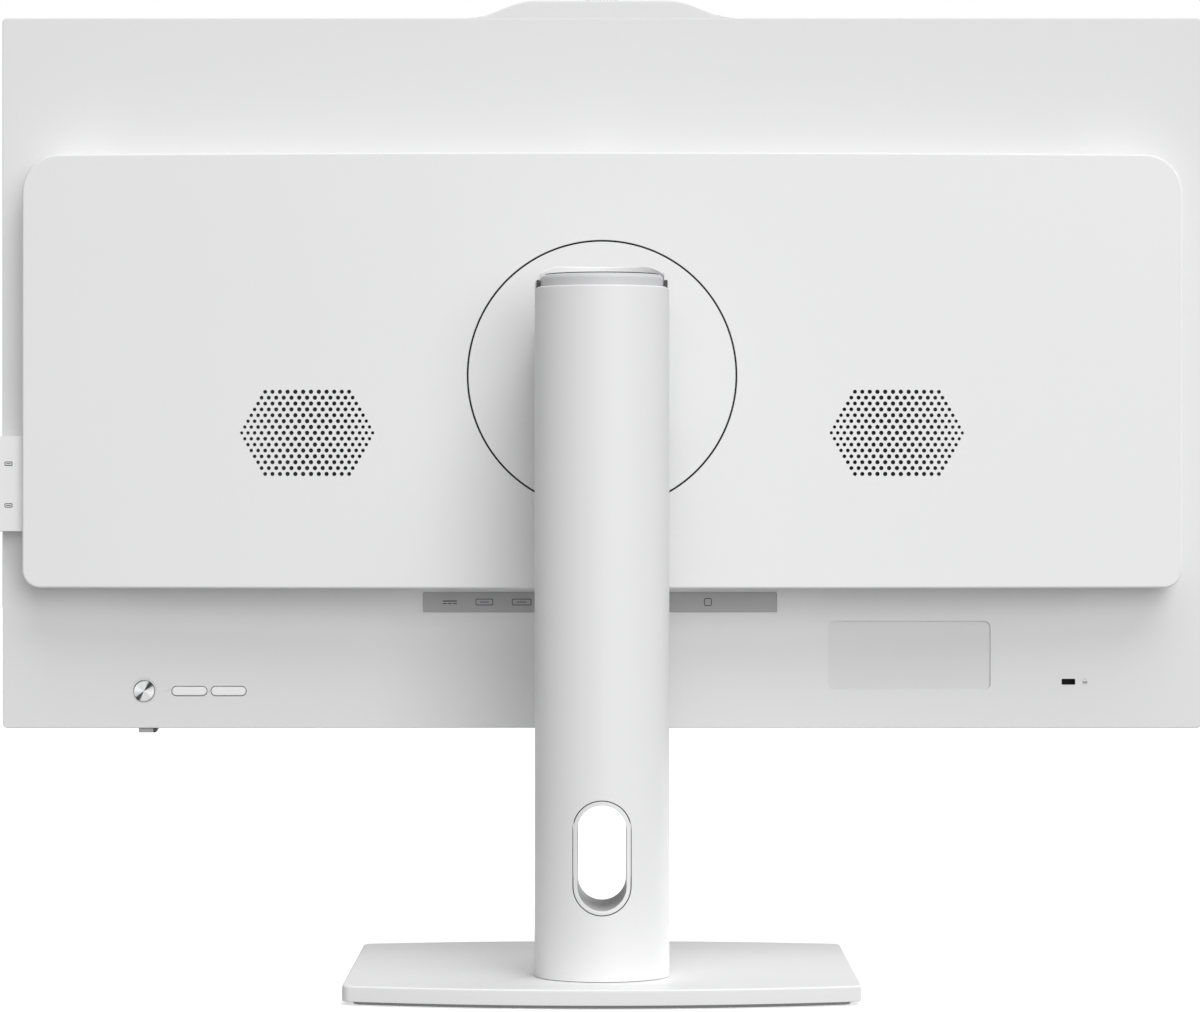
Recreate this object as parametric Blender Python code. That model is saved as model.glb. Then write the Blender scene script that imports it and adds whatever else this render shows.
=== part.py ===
"""All-in-one desktop computer, seen from behind: a flat display with a raised rear housing, on a
height-adjustable column stand.

Metres, +Z up. The origin is the middle of the base's underside. The screen faces -Y and the rear
faces +Y. Bodies: stand, carriage (slides in the column), spring drum, display (tilts on the
carriage's pin), fan, three rear buttons and the camera's privacy slider.
"""

import math

import bmesh
import bpy
from mathutils import Vector

# ---------------------------------------------------------------- driving dimensions
GAP = 0.0003                      # clearance between pieces that meet
SLIDE_GAP = 0.0006                # clearance of pieces that slide on each other

PANEL_WIDTH = 0.6118
PANEL_HEIGHT = 0.3622
PANEL_BOTTOM = 0.1227
PANEL_REAR_Y = -0.060
PANEL_CORNER = 0.0024
BEZEL_THICK = 0.0045
REAR_SHELL_DEPTH = 0.0122
SHELL_WALL = 0.0022
SCREEN_WIDTH = 0.6010
SCREEN_HEIGHT = 0.3400
SCREEN_TOP_BORDER = 0.0052
CHASSIS_THICK = 0.0010

POD_WIDTH = 0.5850
POD_HEIGHT = 0.2186
POD_BOTTOM = 0.1947
POD_REAR_Y = -0.025               # middle of the crowned rear face
POD_CROWN = 0.013                 # how far that face falls towards its two ends
POD_TOP_CORNER = 0.019
POD_BOTTOM_CORNER = 0.009
POD_WALL = 0.0024

DISC_DIAMETER = 0.1350
DISC_THICK = 0.0060
HEAD_Z = 0.3015                   # height of the tilt axis and of the disc
HEAD_Y = -0.007

COLUMN_WIDTH = 0.0650
COLUMN_DEPTH = 0.0560
COLUMN_FRONT_Y = 0.0180
COLUMN_WALL = 0.0025
COLUMN_FRONT_TOP = 0.3530
COLUMN_REAR_TOP = 0.3413
COLUMN_CAP_TOP = 0.3473
CABLE_HOLE_Z = 0.0686
CABLE_HOLE_WIDTH = 0.0233
CABLE_HOLE_HEIGHT = 0.0502
LINER_WALL = 0.0020

BASE_WIDTH = 0.2460
BASE_REACH = 0.1000               # from the origin to the middle of the front and rear edges
BASE_REAR_CROWN = 0.0156
BASE_FRONT_CROWN = 0.0120
BASE_CORNER = 0.0040
BASE_TOP = 0.0096
BASE_WALL = 0.0023
PAD_THICK = 0.0017
PAD_INSET = 0.0050

TRAVEL_DOWN = 0.095
TRAVEL_UP = 0.015

SPINE_SIDE_INSET = 0.0105          # from the column's sides to the spine's
SPINE_REAR_INSET = 0.0120         # from the column's rear face to the spine's
SPINE_WALL = 0.0020
FOOT_THICK = 0.0030
RAIL_SIZE = 0.0060
RAIL_INSET = 0.0050               # from the carriage's sides to the middle of its rails
RAIL_BOTTOM = 0.1050
CARRIAGE_SIDE_GAP = 0.0030
CARRIAGE_SETBACK = 0.0080         # from the column's front to the carriage's
CARRIAGE_WALL = 0.0032
CARRIAGE_DROP = 0.0245            # carriage below the tilt axis
CARRIAGE_RISE = 0.0165            # carriage above the tilt axis
DRUM_RADIUS = 0.0093
DRUM_WIDTH = 0.0180
DRUM_RISE = 0.0035                # drum axis above the tilt axis
DRUM_SHAFT = 0.0020
TAPE_WIDTH = 0.0120
TAPE_THICK = 0.0003

ARM_WIDTH = 0.0260
ARM_HEIGHT = 0.0420
EAR_INNER = 0.0220
EAR_THICK = 0.0060
EAR_RADIUS = 0.0090
KNUCKLE_RADIUS = 0.0080
PIN_RADIUS = 0.0030
TILT_PLATE_WIDTH = 0.0640
TILT_PLATE_HEIGHT = 0.0500
TILT_PLATE_THICK = 0.0040
HEAD_COVER_WIDTH = 0.0660
HEAD_COVER_HEIGHT = 0.0580
HEAD_COVER_FRONT_Y = -0.0100
HEAD_COVER_REAR_Y = 0.0155
HEAD_COVER_WALL = 0.0020
SCREW_X = 0.0255
SCREW_Z = 0.0190
SCREW_RADIUS = 0.0020
SCREW_HEAD_RADIUS = 0.0035

BOARD_WIDTH = 0.1680
BOARD_HEIGHT = 0.1490
BOARD_THICK = 0.0016
STANDOFF_HEIGHT = 0.0129
STANDOFF_RADIUS = 0.0030
BRACKET_WIDTH = 0.1840
BRACKET_HEIGHT = 0.1200
BRACKET_THICK = 0.0020
SPEAKER_X = 0.1480
SPEAKER_RISE = 0.0780              # middle of the speakers above the housing's underside
SPEAKER_SIZE = (0.0760, 0.0220, 0.0500)
FAN_X = 0.1500
FAN_DROP = 0.0633                 # fan's axis below the housing's top
FAN_RADIUS = 0.0310
FAN_WALL = 0.0020
FAN_DEPTH = 0.0150
FIN_HEIGHT = 0.0110
PIPE_RADIUS = 0.0025

BUTTON_Z = 0.1416
POWER_X = 0.2336
POWER_DIAMETER = 0.0108
KEY_XS = (0.2105, 0.1905)
KEY_WIDTH = 0.0180
KEY_HEIGHT = 0.0048
BUTTON_PROUD = 0.0007
BUTTON_TRAVEL = 0.0008
BUTTON_BOARD_THICK = 0.0012
LED_CENTRE_X = 0.2318
LED_WIDTH = 0.0097
LED_HEIGHT = 0.0021

SOCKET_MOUTH = 0.0007             # socket mouths inside the housing's underside
SOCKETS = {                       # name: (X of its middle, width, thickness, length)
    "dc_socket": (0.0785, 0.0090, 0.0105, 0.0130),
    "hdmi_socket": (0.0600, 0.0150, 0.0056, 0.0115),
    "display_socket": (0.0410, 0.0160, 0.0056, 0.0115),
    "usb_socket_1": (0.0190, 0.0140, 0.0066, 0.0140),
    "usb_socket_2": (0.0010, 0.0140, 0.0066, 0.0140),
    "lan_socket": (-0.0240, 0.0160, 0.0135, 0.0150),
    "audio_socket": (-0.0540, 0.0080, 0.0070, 0.0130),
}
SOCKET_WALL = 0.0006
IO_PLATE_X = (-0.0640, 0.0920)
IO_PLATE_DEPTH = 0.0180
LABEL_X = (-0.0893, 0.0915)
LABEL_Z = (0.1817, 0.1923)
LABEL_DEPTH = 0.0007
RECESS_X = (-0.1982, -0.1153)
RECESS_Z = (0.1421, 0.1774)
RECESS_DEPTH = 0.0006
LOCK_X = -0.23795
LOCK_Z = 0.1463
LOCK_SIZE = (0.0069, 0.0030)
SIDE_BLOCK_WIDTH = 0.0128
SIDE_BLOCK_Z = (0.2231, 0.2713)
SIDE_BLOCK_REAR_Y = -0.0450
SIDE_PORT_ZS = (0.2574, 0.2363)
SIDE_PORT_SIZE = (0.0110, 0.0056, 0.0136)

CAMERA_TOP_HALF = 0.0340
CAMERA_FOOT_HALF = 0.0680
CAMERA_RISE = 0.0088
CAMERA_FRONT_Y = -0.0765
CAMERA_REAR_Y = -0.0610
SLIDER_WIDTH = 0.0170
SLIDER_DEPTH = 0.0040
SLIDER_PROUD = 0.0011
SLIDER_TRAVEL = 0.0080
SLOT_DEPTH = 0.0017
LENS_RADIUS = 0.0030

# ---------------------------------------------------------------- derived dimensions
PANEL_TOP = PANEL_BOTTOM + PANEL_HEIGHT
SHELL_FRONT_Y = PANEL_REAR_Y - REAR_SHELL_DEPTH
SHELL_INNER_Y = PANEL_REAR_Y - SHELL_WALL
BEZEL_REAR_Y = SHELL_FRONT_Y - GAP
PANEL_FRONT_Y = BEZEL_REAR_Y - BEZEL_THICK
CHASSIS_REAR_Y = SHELL_FRONT_Y + CHASSIS_THICK
POD_TOP = POD_BOTTOM + POD_HEIGHT
POD_CROWN_RADIUS = ((POD_WIDTH / 2) ** 2 + POD_CROWN ** 2) / (2 * POD_CROWN)
POD_FRONT_Y = PANEL_REAR_Y + GAP
DISC_FRONT_Y = POD_REAR_Y - DISC_THICK
SPEAKER_Z = POD_BOTTOM + SPEAKER_RISE
FAN_Z = POD_TOP - FAN_DROP
COLUMN_REAR_Y = COLUMN_FRONT_Y + COLUMN_DEPTH
COLUMN_MID_Y = COLUMN_FRONT_Y + COLUMN_DEPTH / 2
COLUMN_BOTTOM = BASE_TOP + GAP
SPINE_WIDTH = COLUMN_WIDTH - 2 * SPINE_SIDE_INSET
SPINE_REAR_Y = COLUMN_REAR_Y - SPINE_REAR_INSET
SPINE_FRONT_Y = SPINE_REAR_Y - COLUMN_DEPTH / 2
SPINE_TOP = COLUMN_REAR_TOP - SPINE_WALL - GAP
RAIL_REAR_Y = SPINE_REAR_Y - SPINE_WALL - GAP
RAIL_FRONT_Y = RAIL_REAR_Y - RAIL_SIZE
RAIL_TOP = SPINE_TOP - SPINE_WALL - GAP
CARRIAGE_WIDTH = SPINE_WIDTH - 2 * (SPINE_WALL + CARRIAGE_SIDE_GAP)
CARRIAGE_FRONT_Y = COLUMN_FRONT_Y + CARRIAGE_SETBACK
RAIL_X = CARRIAGE_WIDTH / 2 - RAIL_INSET
DRUM_REACH = DRUM_RADIUS + TAPE_THICK + 2 * SLIDE_GAP
DRUM_Y = CARRIAGE_FRONT_Y + CARRIAGE_WALL + DRUM_REACH
DRUM_Z = HEAD_Z + DRUM_RISE
TILT_PLATE_FRONT_Y = POD_REAR_Y + GAP
TILT_PLATE_REAR_Y = TILT_PLATE_FRONT_Y + TILT_PLATE_THICK
BOARD_FRONT_Y = CHASSIS_REAR_Y + STANDOFF_HEIGHT + GAP
BOARD_REAR_Y = BOARD_FRONT_Y + BOARD_THICK
BOARD_BOTTOM = POD_BOTTOM + POD_WALL + 2 * GAP
BRACKET_REAR_Y = DISC_FRONT_Y - GAP
ON_BOARD_Y = BOARD_REAR_Y + GAP
COOLER_REAR_Y = ON_BOARD_Y + 0.0118
FAN_FRONT_Y = BOARD_FRONT_Y
BUTTON_BOARD_Y = CHASSIS_REAR_Y + GAP + BUTTON_BOARD_THICK
BUTTON_FRONT_Y = BUTTON_BOARD_Y + BUTTON_TRAVEL + GAP / 3
CAMERA_BOTTOM = PANEL_TOP + GAP
CAMERA_TOP = CAMERA_BOTTOM + CAMERA_RISE

MATERIALS = {                     # name: (colour, roughness, metallic)
    "white_plastic": ((0.80, 0.80, 0.81), 0.42, 0.0),
    "grey_plastic": ((0.55, 0.55, 0.56), 0.50, 0.0),
    "dark_plastic": ((0.05, 0.05, 0.055), 0.55, 0.0),
    "black_rubber": ((0.03, 0.03, 0.03), 0.85, 0.0),
    "steel": ((0.55, 0.56, 0.58), 0.35, 1.0),
    "aluminium": ((0.78, 0.78, 0.79), 0.30, 1.0),
    "screen_glass": ((0.02, 0.02, 0.025), 0.12, 0.0),
    "circuit_board": ((0.05, 0.22, 0.12), 0.55, 0.0),
    "copper": ((0.72, 0.40, 0.25), 0.32, 1.0),
}


# ---------------------------------------------------------------- shared construction
def clear_scene():
    for obj in list(bpy.data.objects):
        bpy.data.objects.remove(obj, do_unlink=True)


def material(name):
    found = bpy.data.materials.get(name)
    if found:
        return found
    colour, roughness, metallic = MATERIALS[name]
    made = bpy.data.materials.new(name)
    made.use_nodes = True
    shader = made.node_tree.nodes["Principled BSDF"]
    shader.inputs["Base Color"].default_value = (*colour, 1.0)
    shader.inputs["Roughness"].default_value = roughness
    shader.inputs["Metallic"].default_value = metallic
    made.diffuse_color = (*colour, 1.0)
    return made


def filleted(corners, radii, steps=5):
    """The polygon's points with each corner of a non-zero radius replaced by a tangent arc."""
    points = []
    for i, (corner, radius) in enumerate(zip(corners, radii)):
        here = Vector(corner)
        if not radius:
            points.append(tuple(here))
            continue
        back = (Vector(corners[i - 1]) - here).normalized()
        ahead = (Vector(corners[(i + 1) % len(corners)]) - here).normalized()
        half = back.angle(ahead) / 2
        centre = here + (back + ahead).normalized() * radius / math.sin(half)
        start = here + back * radius / math.tan(half) - centre
        turn = start.angle_signed(here + ahead * radius / math.tan(half) - centre)
        for k in range(steps + 1):
            angle = -turn * k / steps
            c, s = math.cos(angle), math.sin(angle)
            points.append((centre.x + c * start.x - s * start.y, centre.y + s * start.x + c * start.y))
    return points


def rectangle(u_range, v_range, radii=(0, 0, 0, 0)):
    """Counter-clockwise from the low corner: bottom left, bottom right, top right, top left."""
    (u0, u1), (v0, v1) = u_range, v_range
    return filleted([(u0, v0), (u1, v0), (u1, v1), (u0, v1)], radii)


def circle(centre, radius, sides=32):
    turns = [2 * math.pi * k / sides for k in range(sides)]
    return [(centre[0] + radius * math.cos(t), centre[1] + radius * math.sin(t)) for t in turns]


def obround(centre, width, height, steps=10):
    """An upright slot with round ends."""
    radius, lift = width / 2, (height - width) / 2
    points = []
    for side, start in ((1, 0.0), (-1, math.pi)):
        for k in range(steps + 1):
            t = start + math.pi * k / steps
            points.append((centre[0] + radius * math.cos(t), centre[1] + side * lift + radius * math.sin(t)))
    return points


def prism(name, outline, axis, low, high, surface, origin=(0, 0, 0)):
    """The outline, in the plane across the axis, as a solid from low to high along that axis.

    The outline's two coordinates are (Y, Z) across X, (X, Z) across Y and (X, Y) across Z.
    """
    place = {
        "X": lambda u, v, w: (w, u, v),
        "Y": lambda u, v, w: (u, w, v),
        "Z": lambda u, v, w: (u, v, w),
    }[axis]
    mesh = bmesh.new()
    low_ring = [mesh.verts.new(Vector(place(u, v, low)) - Vector(origin)) for u, v in outline]
    face = mesh.faces.new(low_ring)
    extruded = bmesh.ops.extrude_face_region(mesh, geom=[face])["geom"]
    moved = [item for item in extruded if isinstance(item, bmesh.types.BMVert)]
    bmesh.ops.translate(mesh, verts=moved, vec=Vector(place(0, 0, high - low)))
    bmesh.ops.recalc_face_normals(mesh, faces=mesh.faces)
    data = bpy.data.meshes.new(name)
    mesh.to_mesh(data)
    mesh.free()
    obj = bpy.data.objects.new(name, data)
    obj.location = origin
    bpy.context.scene.collection.objects.link(obj)
    data.materials.append(material(surface))
    data.shade_smooth()
    data.set_sharp_from_angle(angle=math.radians(30))
    return obj


def box(name, x_range, y_range, z_range, surface, origin=(0, 0, 0)):
    return prism(name, rectangle(x_range, y_range), "Z", *z_range, surface, origin)


def combine(obj, other, operation="DIFFERENCE"):
    """Cuts, joins or trims obj by other, which becomes a wire-drawn helper."""
    modifier = obj.modifiers.new(f"{operation.lower()}_{other.name}", "BOOLEAN")
    modifier.object = other
    modifier.operation = operation
    other.hide_render = True
    other.display_type = "WIRE"
    return obj


def cut(obj, *others):
    for other in others:
        combine(obj, other)
    return obj


def join(obj, *others):
    for other in others:
        combine(obj, other, "UNION")
    return obj


def column_outline(inset=0.0, steps=48):
    """The column's oval section, in (X, Y), drawn in by inset."""
    half_width, half_depth = COLUMN_WIDTH / 2 - inset, COLUMN_DEPTH / 2 - inset
    turns = [2 * math.pi * k / steps for k in range(steps)]
    return [(half_width * math.cos(t), COLUMN_MID_Y + half_depth * math.sin(t)) for t in turns]


def base_outline(inset=0.0, steps=16):
    """The base's outline in (X, Y): straight sides, crowned front and rear edges, round corners."""
    half = BASE_WIDTH / 2 - inset
    points, radii = [], []
    for side, crown in ((-1, BASE_FRONT_CROWN), (1, BASE_REAR_CROWN)):
        for k in range(steps + 1):
            share = -1 + 2 * k / steps
            points.append((-side * half * share, side * (BASE_REACH - inset - crown * share ** 2)))
            radii.append(BASE_CORNER if k in (0, steps) else 0)
    return filleted(points, radii)


def crown_outline(inset, front_y, half_width, steps=24):
    """The rear housing's section in (X, Y): flat in front at front_y, crowned behind."""
    points = [(-half_width, front_y), (half_width, front_y)]
    for k in range(steps + 1):
        x = half_width * (1 - 2 * k / steps)
        points.append((x, POD_REAR_Y - inset - x ** 2 / (2 * POD_CROWN_RADIUS)))
    return points


# ---------------------------------------------------------------- stand
def make_base():
    rim = PAD_THICK + GAP
    shell = prism("base_shell", base_outline(), "Z", rim, BASE_TOP, "white_plastic")
    hollow = prism("base_hollow", base_outline(BASE_WALL), "Z", rim - BASE_WALL, BASE_TOP - BASE_WALL, "steel")
    weight = prism("base_weight", base_outline(BASE_WALL + SLIDE_GAP), "Z",
                   rim, BASE_TOP - BASE_WALL - GAP, "steel")
    pad = prism("base_pad", base_outline(PAD_INSET), "Z", 0, PAD_THICK, "black_rubber")

    screw_at = (0, (SPINE_FRONT_Y + SPINE_REAR_Y) / 2)
    screw_radius, head_radius = 0.0030, 0.0070
    screw = prism("base_screw", circle(screw_at, screw_radius, 16), "Z", GAP, BASE_TOP + FOOT_THICK, "steel")
    join(screw, prism("screw_head", circle(screw_at, head_radius, 24), "Z", GAP, PAD_THICK, "steel"))
    shank_hole = prism("screw_way", circle(screw_at, screw_radius + GAP, 16), "Z",
                       -0.01, BASE_TOP + FOOT_THICK + 0.01, "steel")
    head_hole = prism("screw_head_way", circle(screw_at, head_radius + GAP, 24), "Z",
                      -0.01, PAD_THICK + 0.005, "steel")
    cut(shell, hollow, shank_hole)
    cut(weight, shank_hole)
    cut(pad, head_hole)
    return shank_hole


def make_column():
    hole_at = (0, CABLE_HOLE_Z)
    outer = (CABLE_HOLE_WIDTH + 2 * LINER_WALL, CABLE_HOLE_HEIGHT + 2 * LINER_WALL)
    front_y, rear_y = COLUMN_FRONT_Y - 0.01, COLUMN_REAR_Y + 0.01
    cable_way = prism("cable_way", obround(hole_at, outer[0] + 2 * GAP, outer[1] + 2 * GAP), "Y",
                      front_y, rear_y, "steel")
    core = prism("column_core", column_outline(COLUMN_WALL), "Z", 0, COLUMN_FRONT_TOP + 0.01, "steel")
    wide = COLUMN_WIDTH
    front_half = box("front_half", (-wide, wide), (front_y, COLUMN_MID_Y - GAP / 2),
                     (0, COLUMN_FRONT_TOP + 0.02), "steel")
    rear_half = box("rear_half", (-wide, wide), (COLUMN_MID_Y + GAP / 2, rear_y),
                    (0, COLUMN_FRONT_TOP + 0.02), "steel")

    front = prism("column_front_shell", column_outline(), "Z", COLUMN_BOTTOM, COLUMN_FRONT_TOP, "white_plastic")
    arm_reach = ARM_HEIGHT / 2 + SLIDE_GAP
    arm_slot = box("arm_slot", (-ARM_WIDTH / 2 - SLIDE_GAP, ARM_WIDTH / 2 + SLIDE_GAP),
                   (front_y, CARRIAGE_FRONT_Y + 0.004),
                   (HEAD_Z - TRAVEL_DOWN - arm_reach, HEAD_Z + TRAVEL_UP + arm_reach), "steel")
    combine(front, front_half, "INTERSECT")
    cut(front, core, cable_way, arm_slot)

    rear = prism("column_rear_cover", column_outline(), "Z", COLUMN_BOTTOM, COLUMN_REAR_TOP, "white_plastic")
    combine(rear, rear_half, "INTERSECT")
    cut(rear, core, cable_way)

    cap_inset = COLUMN_WALL + GAP
    cap = prism("column_cap", column_outline(cap_inset), "Z", COLUMN_REAR_TOP, COLUMN_CAP_TOP, "grey_plastic")

    liner = prism("cable_hole_liner", obround(hole_at, *outer), "Y", COLUMN_FRONT_Y, COLUMN_REAR_Y, "white_plastic")
    inner = prism("liner_bore", obround(hole_at, CABLE_HOLE_WIDTH, CABLE_HOLE_HEIGHT), "Y",
                  front_y, rear_y, "steel")
    skin = prism("liner_trim", column_outline(GAP), "Z", 0, COLUMN_REAR_TOP, "steel")
    combine(liner, skin, "INTERSECT")
    cut(liner, inner)
    return cable_way


def make_spine(cable_way, screw_way):
    half = SPINE_WIDTH / 2
    spine = box("column_spine", (-half, half), (SPINE_FRONT_Y, SPINE_REAR_Y), (COLUMN_BOTTOM, SPINE_TOP), "steel")
    channel = box("spine_channel", (-half + SPINE_WALL, half - SPINE_WALL),
                  (SPINE_FRONT_Y - 0.01, SPINE_REAR_Y - SPINE_WALL),
                  (COLUMN_BOTTOM + FOOT_THICK, SPINE_TOP - SPINE_WALL), "steel")
    cut(spine, channel, cable_way, screw_way)
    for side, name in ((1, "left"), (-1, "right")):
        middle = side * RAIL_X
        box(f"guide_rail_{name}", (middle - RAIL_SIZE / 2, middle + RAIL_SIZE / 2),
            (RAIL_FRONT_Y, RAIL_REAR_Y), (RAIL_BOTTOM, RAIL_TOP), "steel")
    tape_y = DRUM_Y + DRUM_RADIUS + GAP
    box("spring_tape", (-TAPE_WIDTH / 2, TAPE_WIDTH / 2), (tape_y, tape_y + TAPE_THICK),
        (DRUM_Z, SPINE_TOP - SPINE_WALL - GAP), "steel")


# ---------------------------------------------------------------- carriage and hinge
def make_carriage():
    half = CARRIAGE_WIDTH / 2
    low, high = HEAD_Z - CARRIAGE_DROP, HEAD_Z + CARRIAGE_RISE
    block_rear_y = RAIL_REAR_Y - SLIDE_GAP
    block = box("carriage_block", (-half, half), (CARRIAGE_FRONT_Y, block_rear_y), (low, high), "aluminium")
    for side in (1, -1):
        middle, reach = side * RAIL_X, RAIL_SIZE / 2 + SLIDE_GAP
        cut(block, box(f"rail_groove_{side}", (middle - reach, middle + reach),
                       (RAIL_FRONT_Y - SLIDE_GAP, block_rear_y + 0.01), (low - 0.01, high + 0.01), "steel"))
    pocket_half = DRUM_WIDTH / 2 + SLIDE_GAP
    pocket = box("drum_pocket", (-pocket_half, pocket_half), (DRUM_Y - DRUM_REACH, DRUM_Y + DRUM_REACH),
                 (DRUM_Z - DRUM_REACH, high + 0.01), "steel")
    shaft_way = prism("drum_shaft_way", circle((DRUM_Y, DRUM_Z), DRUM_SHAFT + GAP, 16), "X",
                      -half - 0.01, half + 0.01, "steel")
    cut(block, pocket, shaft_way)

    drum_centre = (0, DRUM_Y, DRUM_Z)
    drum = prism("spring_drum", circle((DRUM_Y, DRUM_Z), DRUM_RADIUS), "X",
                 -DRUM_WIDTH / 2, DRUM_WIDTH / 2, "steel", drum_centre)
    join(drum, prism("drum_shaft", circle((DRUM_Y, DRUM_Z), DRUM_SHAFT, 16), "X",
                     -half + GAP, half - GAP, "steel", drum_centre))


def ear_outline(radius, root_y):
    """An ear across the tilt axis, in (Y, Z): round about the axis, straight back to root_y."""
    points = [(root_y, HEAD_Z - radius), (root_y, HEAD_Z + radius)]
    for k in range(13):
        t = math.pi / 2 + math.pi * k / 12
        points.append((HEAD_Y + radius * math.cos(t), HEAD_Z + radius * math.sin(t)))
    return points


def make_hinge():
    yoke_front_y, yoke_rear_y = 0.002, 0.012
    half_height = ARM_HEIGHT / 2
    yoke_half = EAR_INNER + EAR_THICK
    arm = box("head_arm", (-ARM_WIDTH / 2, ARM_WIDTH / 2), (yoke_front_y, CARRIAGE_FRONT_Y - GAP),
              (HEAD_Z - half_height, HEAD_Z + half_height), "aluminium")
    join(arm, box("head_yoke", (-yoke_half, yoke_half), (yoke_front_y, yoke_rear_y),
                  (HEAD_Z - half_height, HEAD_Z + half_height), "aluminium"))
    for side in (1, -1):
        inner, outer = sorted((side * EAR_INNER, side * yoke_half))
        join(arm, prism(f"arm_ear_{side}", ear_outline(EAR_RADIUS, yoke_front_y + 0.002), "X",
                        inner, outer, "aluminium"))
    pin_way = prism("pin_way", circle((HEAD_Y, HEAD_Z), PIN_RADIUS + GAP, 24), "X",
                    -yoke_half - 0.01, yoke_half + 0.01, "steel")
    cut(arm, pin_way)
    prism("hinge_pin", circle((HEAD_Y, HEAD_Z), PIN_RADIUS, 24), "X",
          -yoke_half - GAP, yoke_half + GAP, "steel", (0, HEAD_Y, HEAD_Z))

    half_w, half_h = HEAD_COVER_WIDTH / 2, HEAD_COVER_HEIGHT / 2
    cover = prism("head_cover", rectangle((-half_w, half_w), (HEAD_Z - half_h, HEAD_Z + half_h), [0.008] * 4),
                  "Y", HEAD_COVER_FRONT_Y, HEAD_COVER_REAR_Y, "white_plastic")
    wall = HEAD_COVER_WALL
    hollow = prism("head_hollow", rectangle((-half_w + wall, half_w - wall),
                                            (HEAD_Z - half_h + wall, HEAD_Z + half_h - wall), [0.006] * 4),
                   "Y", HEAD_COVER_FRONT_Y - 0.01, HEAD_COVER_REAR_Y - wall, "steel")
    arm_way = box("arm_way", (-ARM_WIDTH / 2 - GAP, ARM_WIDTH / 2 + GAP),
                  (HEAD_COVER_FRONT_Y, HEAD_COVER_REAR_Y + 0.01),
                  (HEAD_Z - half_height - GAP, HEAD_Z + half_height + GAP), "steel")
    cut(cover, hollow, arm_way)
    return pin_way


def make_tilt_bracket(pin_way):
    half_w, half_h = TILT_PLATE_WIDTH / 2, TILT_PLATE_HEIGHT / 2
    bracket = box("tilt_bracket", (-half_w, half_w), (TILT_PLATE_FRONT_Y, TILT_PLATE_REAR_Y),
                  (HEAD_Z - half_h, HEAD_Z + half_h), "steel")
    knuckle_half = EAR_INNER - 2 * GAP
    points = [(TILT_PLATE_FRONT_Y + 0.001, HEAD_Z + KNUCKLE_RADIUS), (TILT_PLATE_FRONT_Y + 0.001, HEAD_Z - KNUCKLE_RADIUS)]
    for k in range(13):
        t = -math.pi / 2 + math.pi * k / 12
        points.append((HEAD_Y + KNUCKLE_RADIUS * math.cos(t), HEAD_Z + KNUCKLE_RADIUS * math.sin(t)))
    join(bracket, prism("tilt_knuckle", points, "X", -knuckle_half, knuckle_half, "steel"))
    cut(bracket, pin_way)

    ways = []
    for number, (sx, sz) in enumerate(((1, 1), (-1, 1), (-1, -1), (1, -1)), 1):
        centre = (sx * SCREW_X, HEAD_Z + sz * SCREW_Z)
        screw = prism(f"tilt_screw_{number}", circle(centre, SCREW_RADIUS, 12), "Y",
                      BRACKET_REAR_Y - BRACKET_THICK, TILT_PLATE_REAR_Y + GAP + 0.001, "steel")
        join(screw, prism(f"tilt_screw_head_{number}", circle(centre, SCREW_HEAD_RADIUS, 12), "Y",
                          TILT_PLATE_REAR_Y + GAP, TILT_PLATE_REAR_Y + GAP + 0.002, "steel"))
        way = prism(f"tilt_screw_way_{number}", circle(centre, SCREW_RADIUS + GAP, 12), "Y",
                    BRACKET_REAR_Y - 0.01, TILT_PLATE_REAR_Y + 0.01, "steel")
        cut(bracket, way)
        ways.append(way)
    return ways


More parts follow.
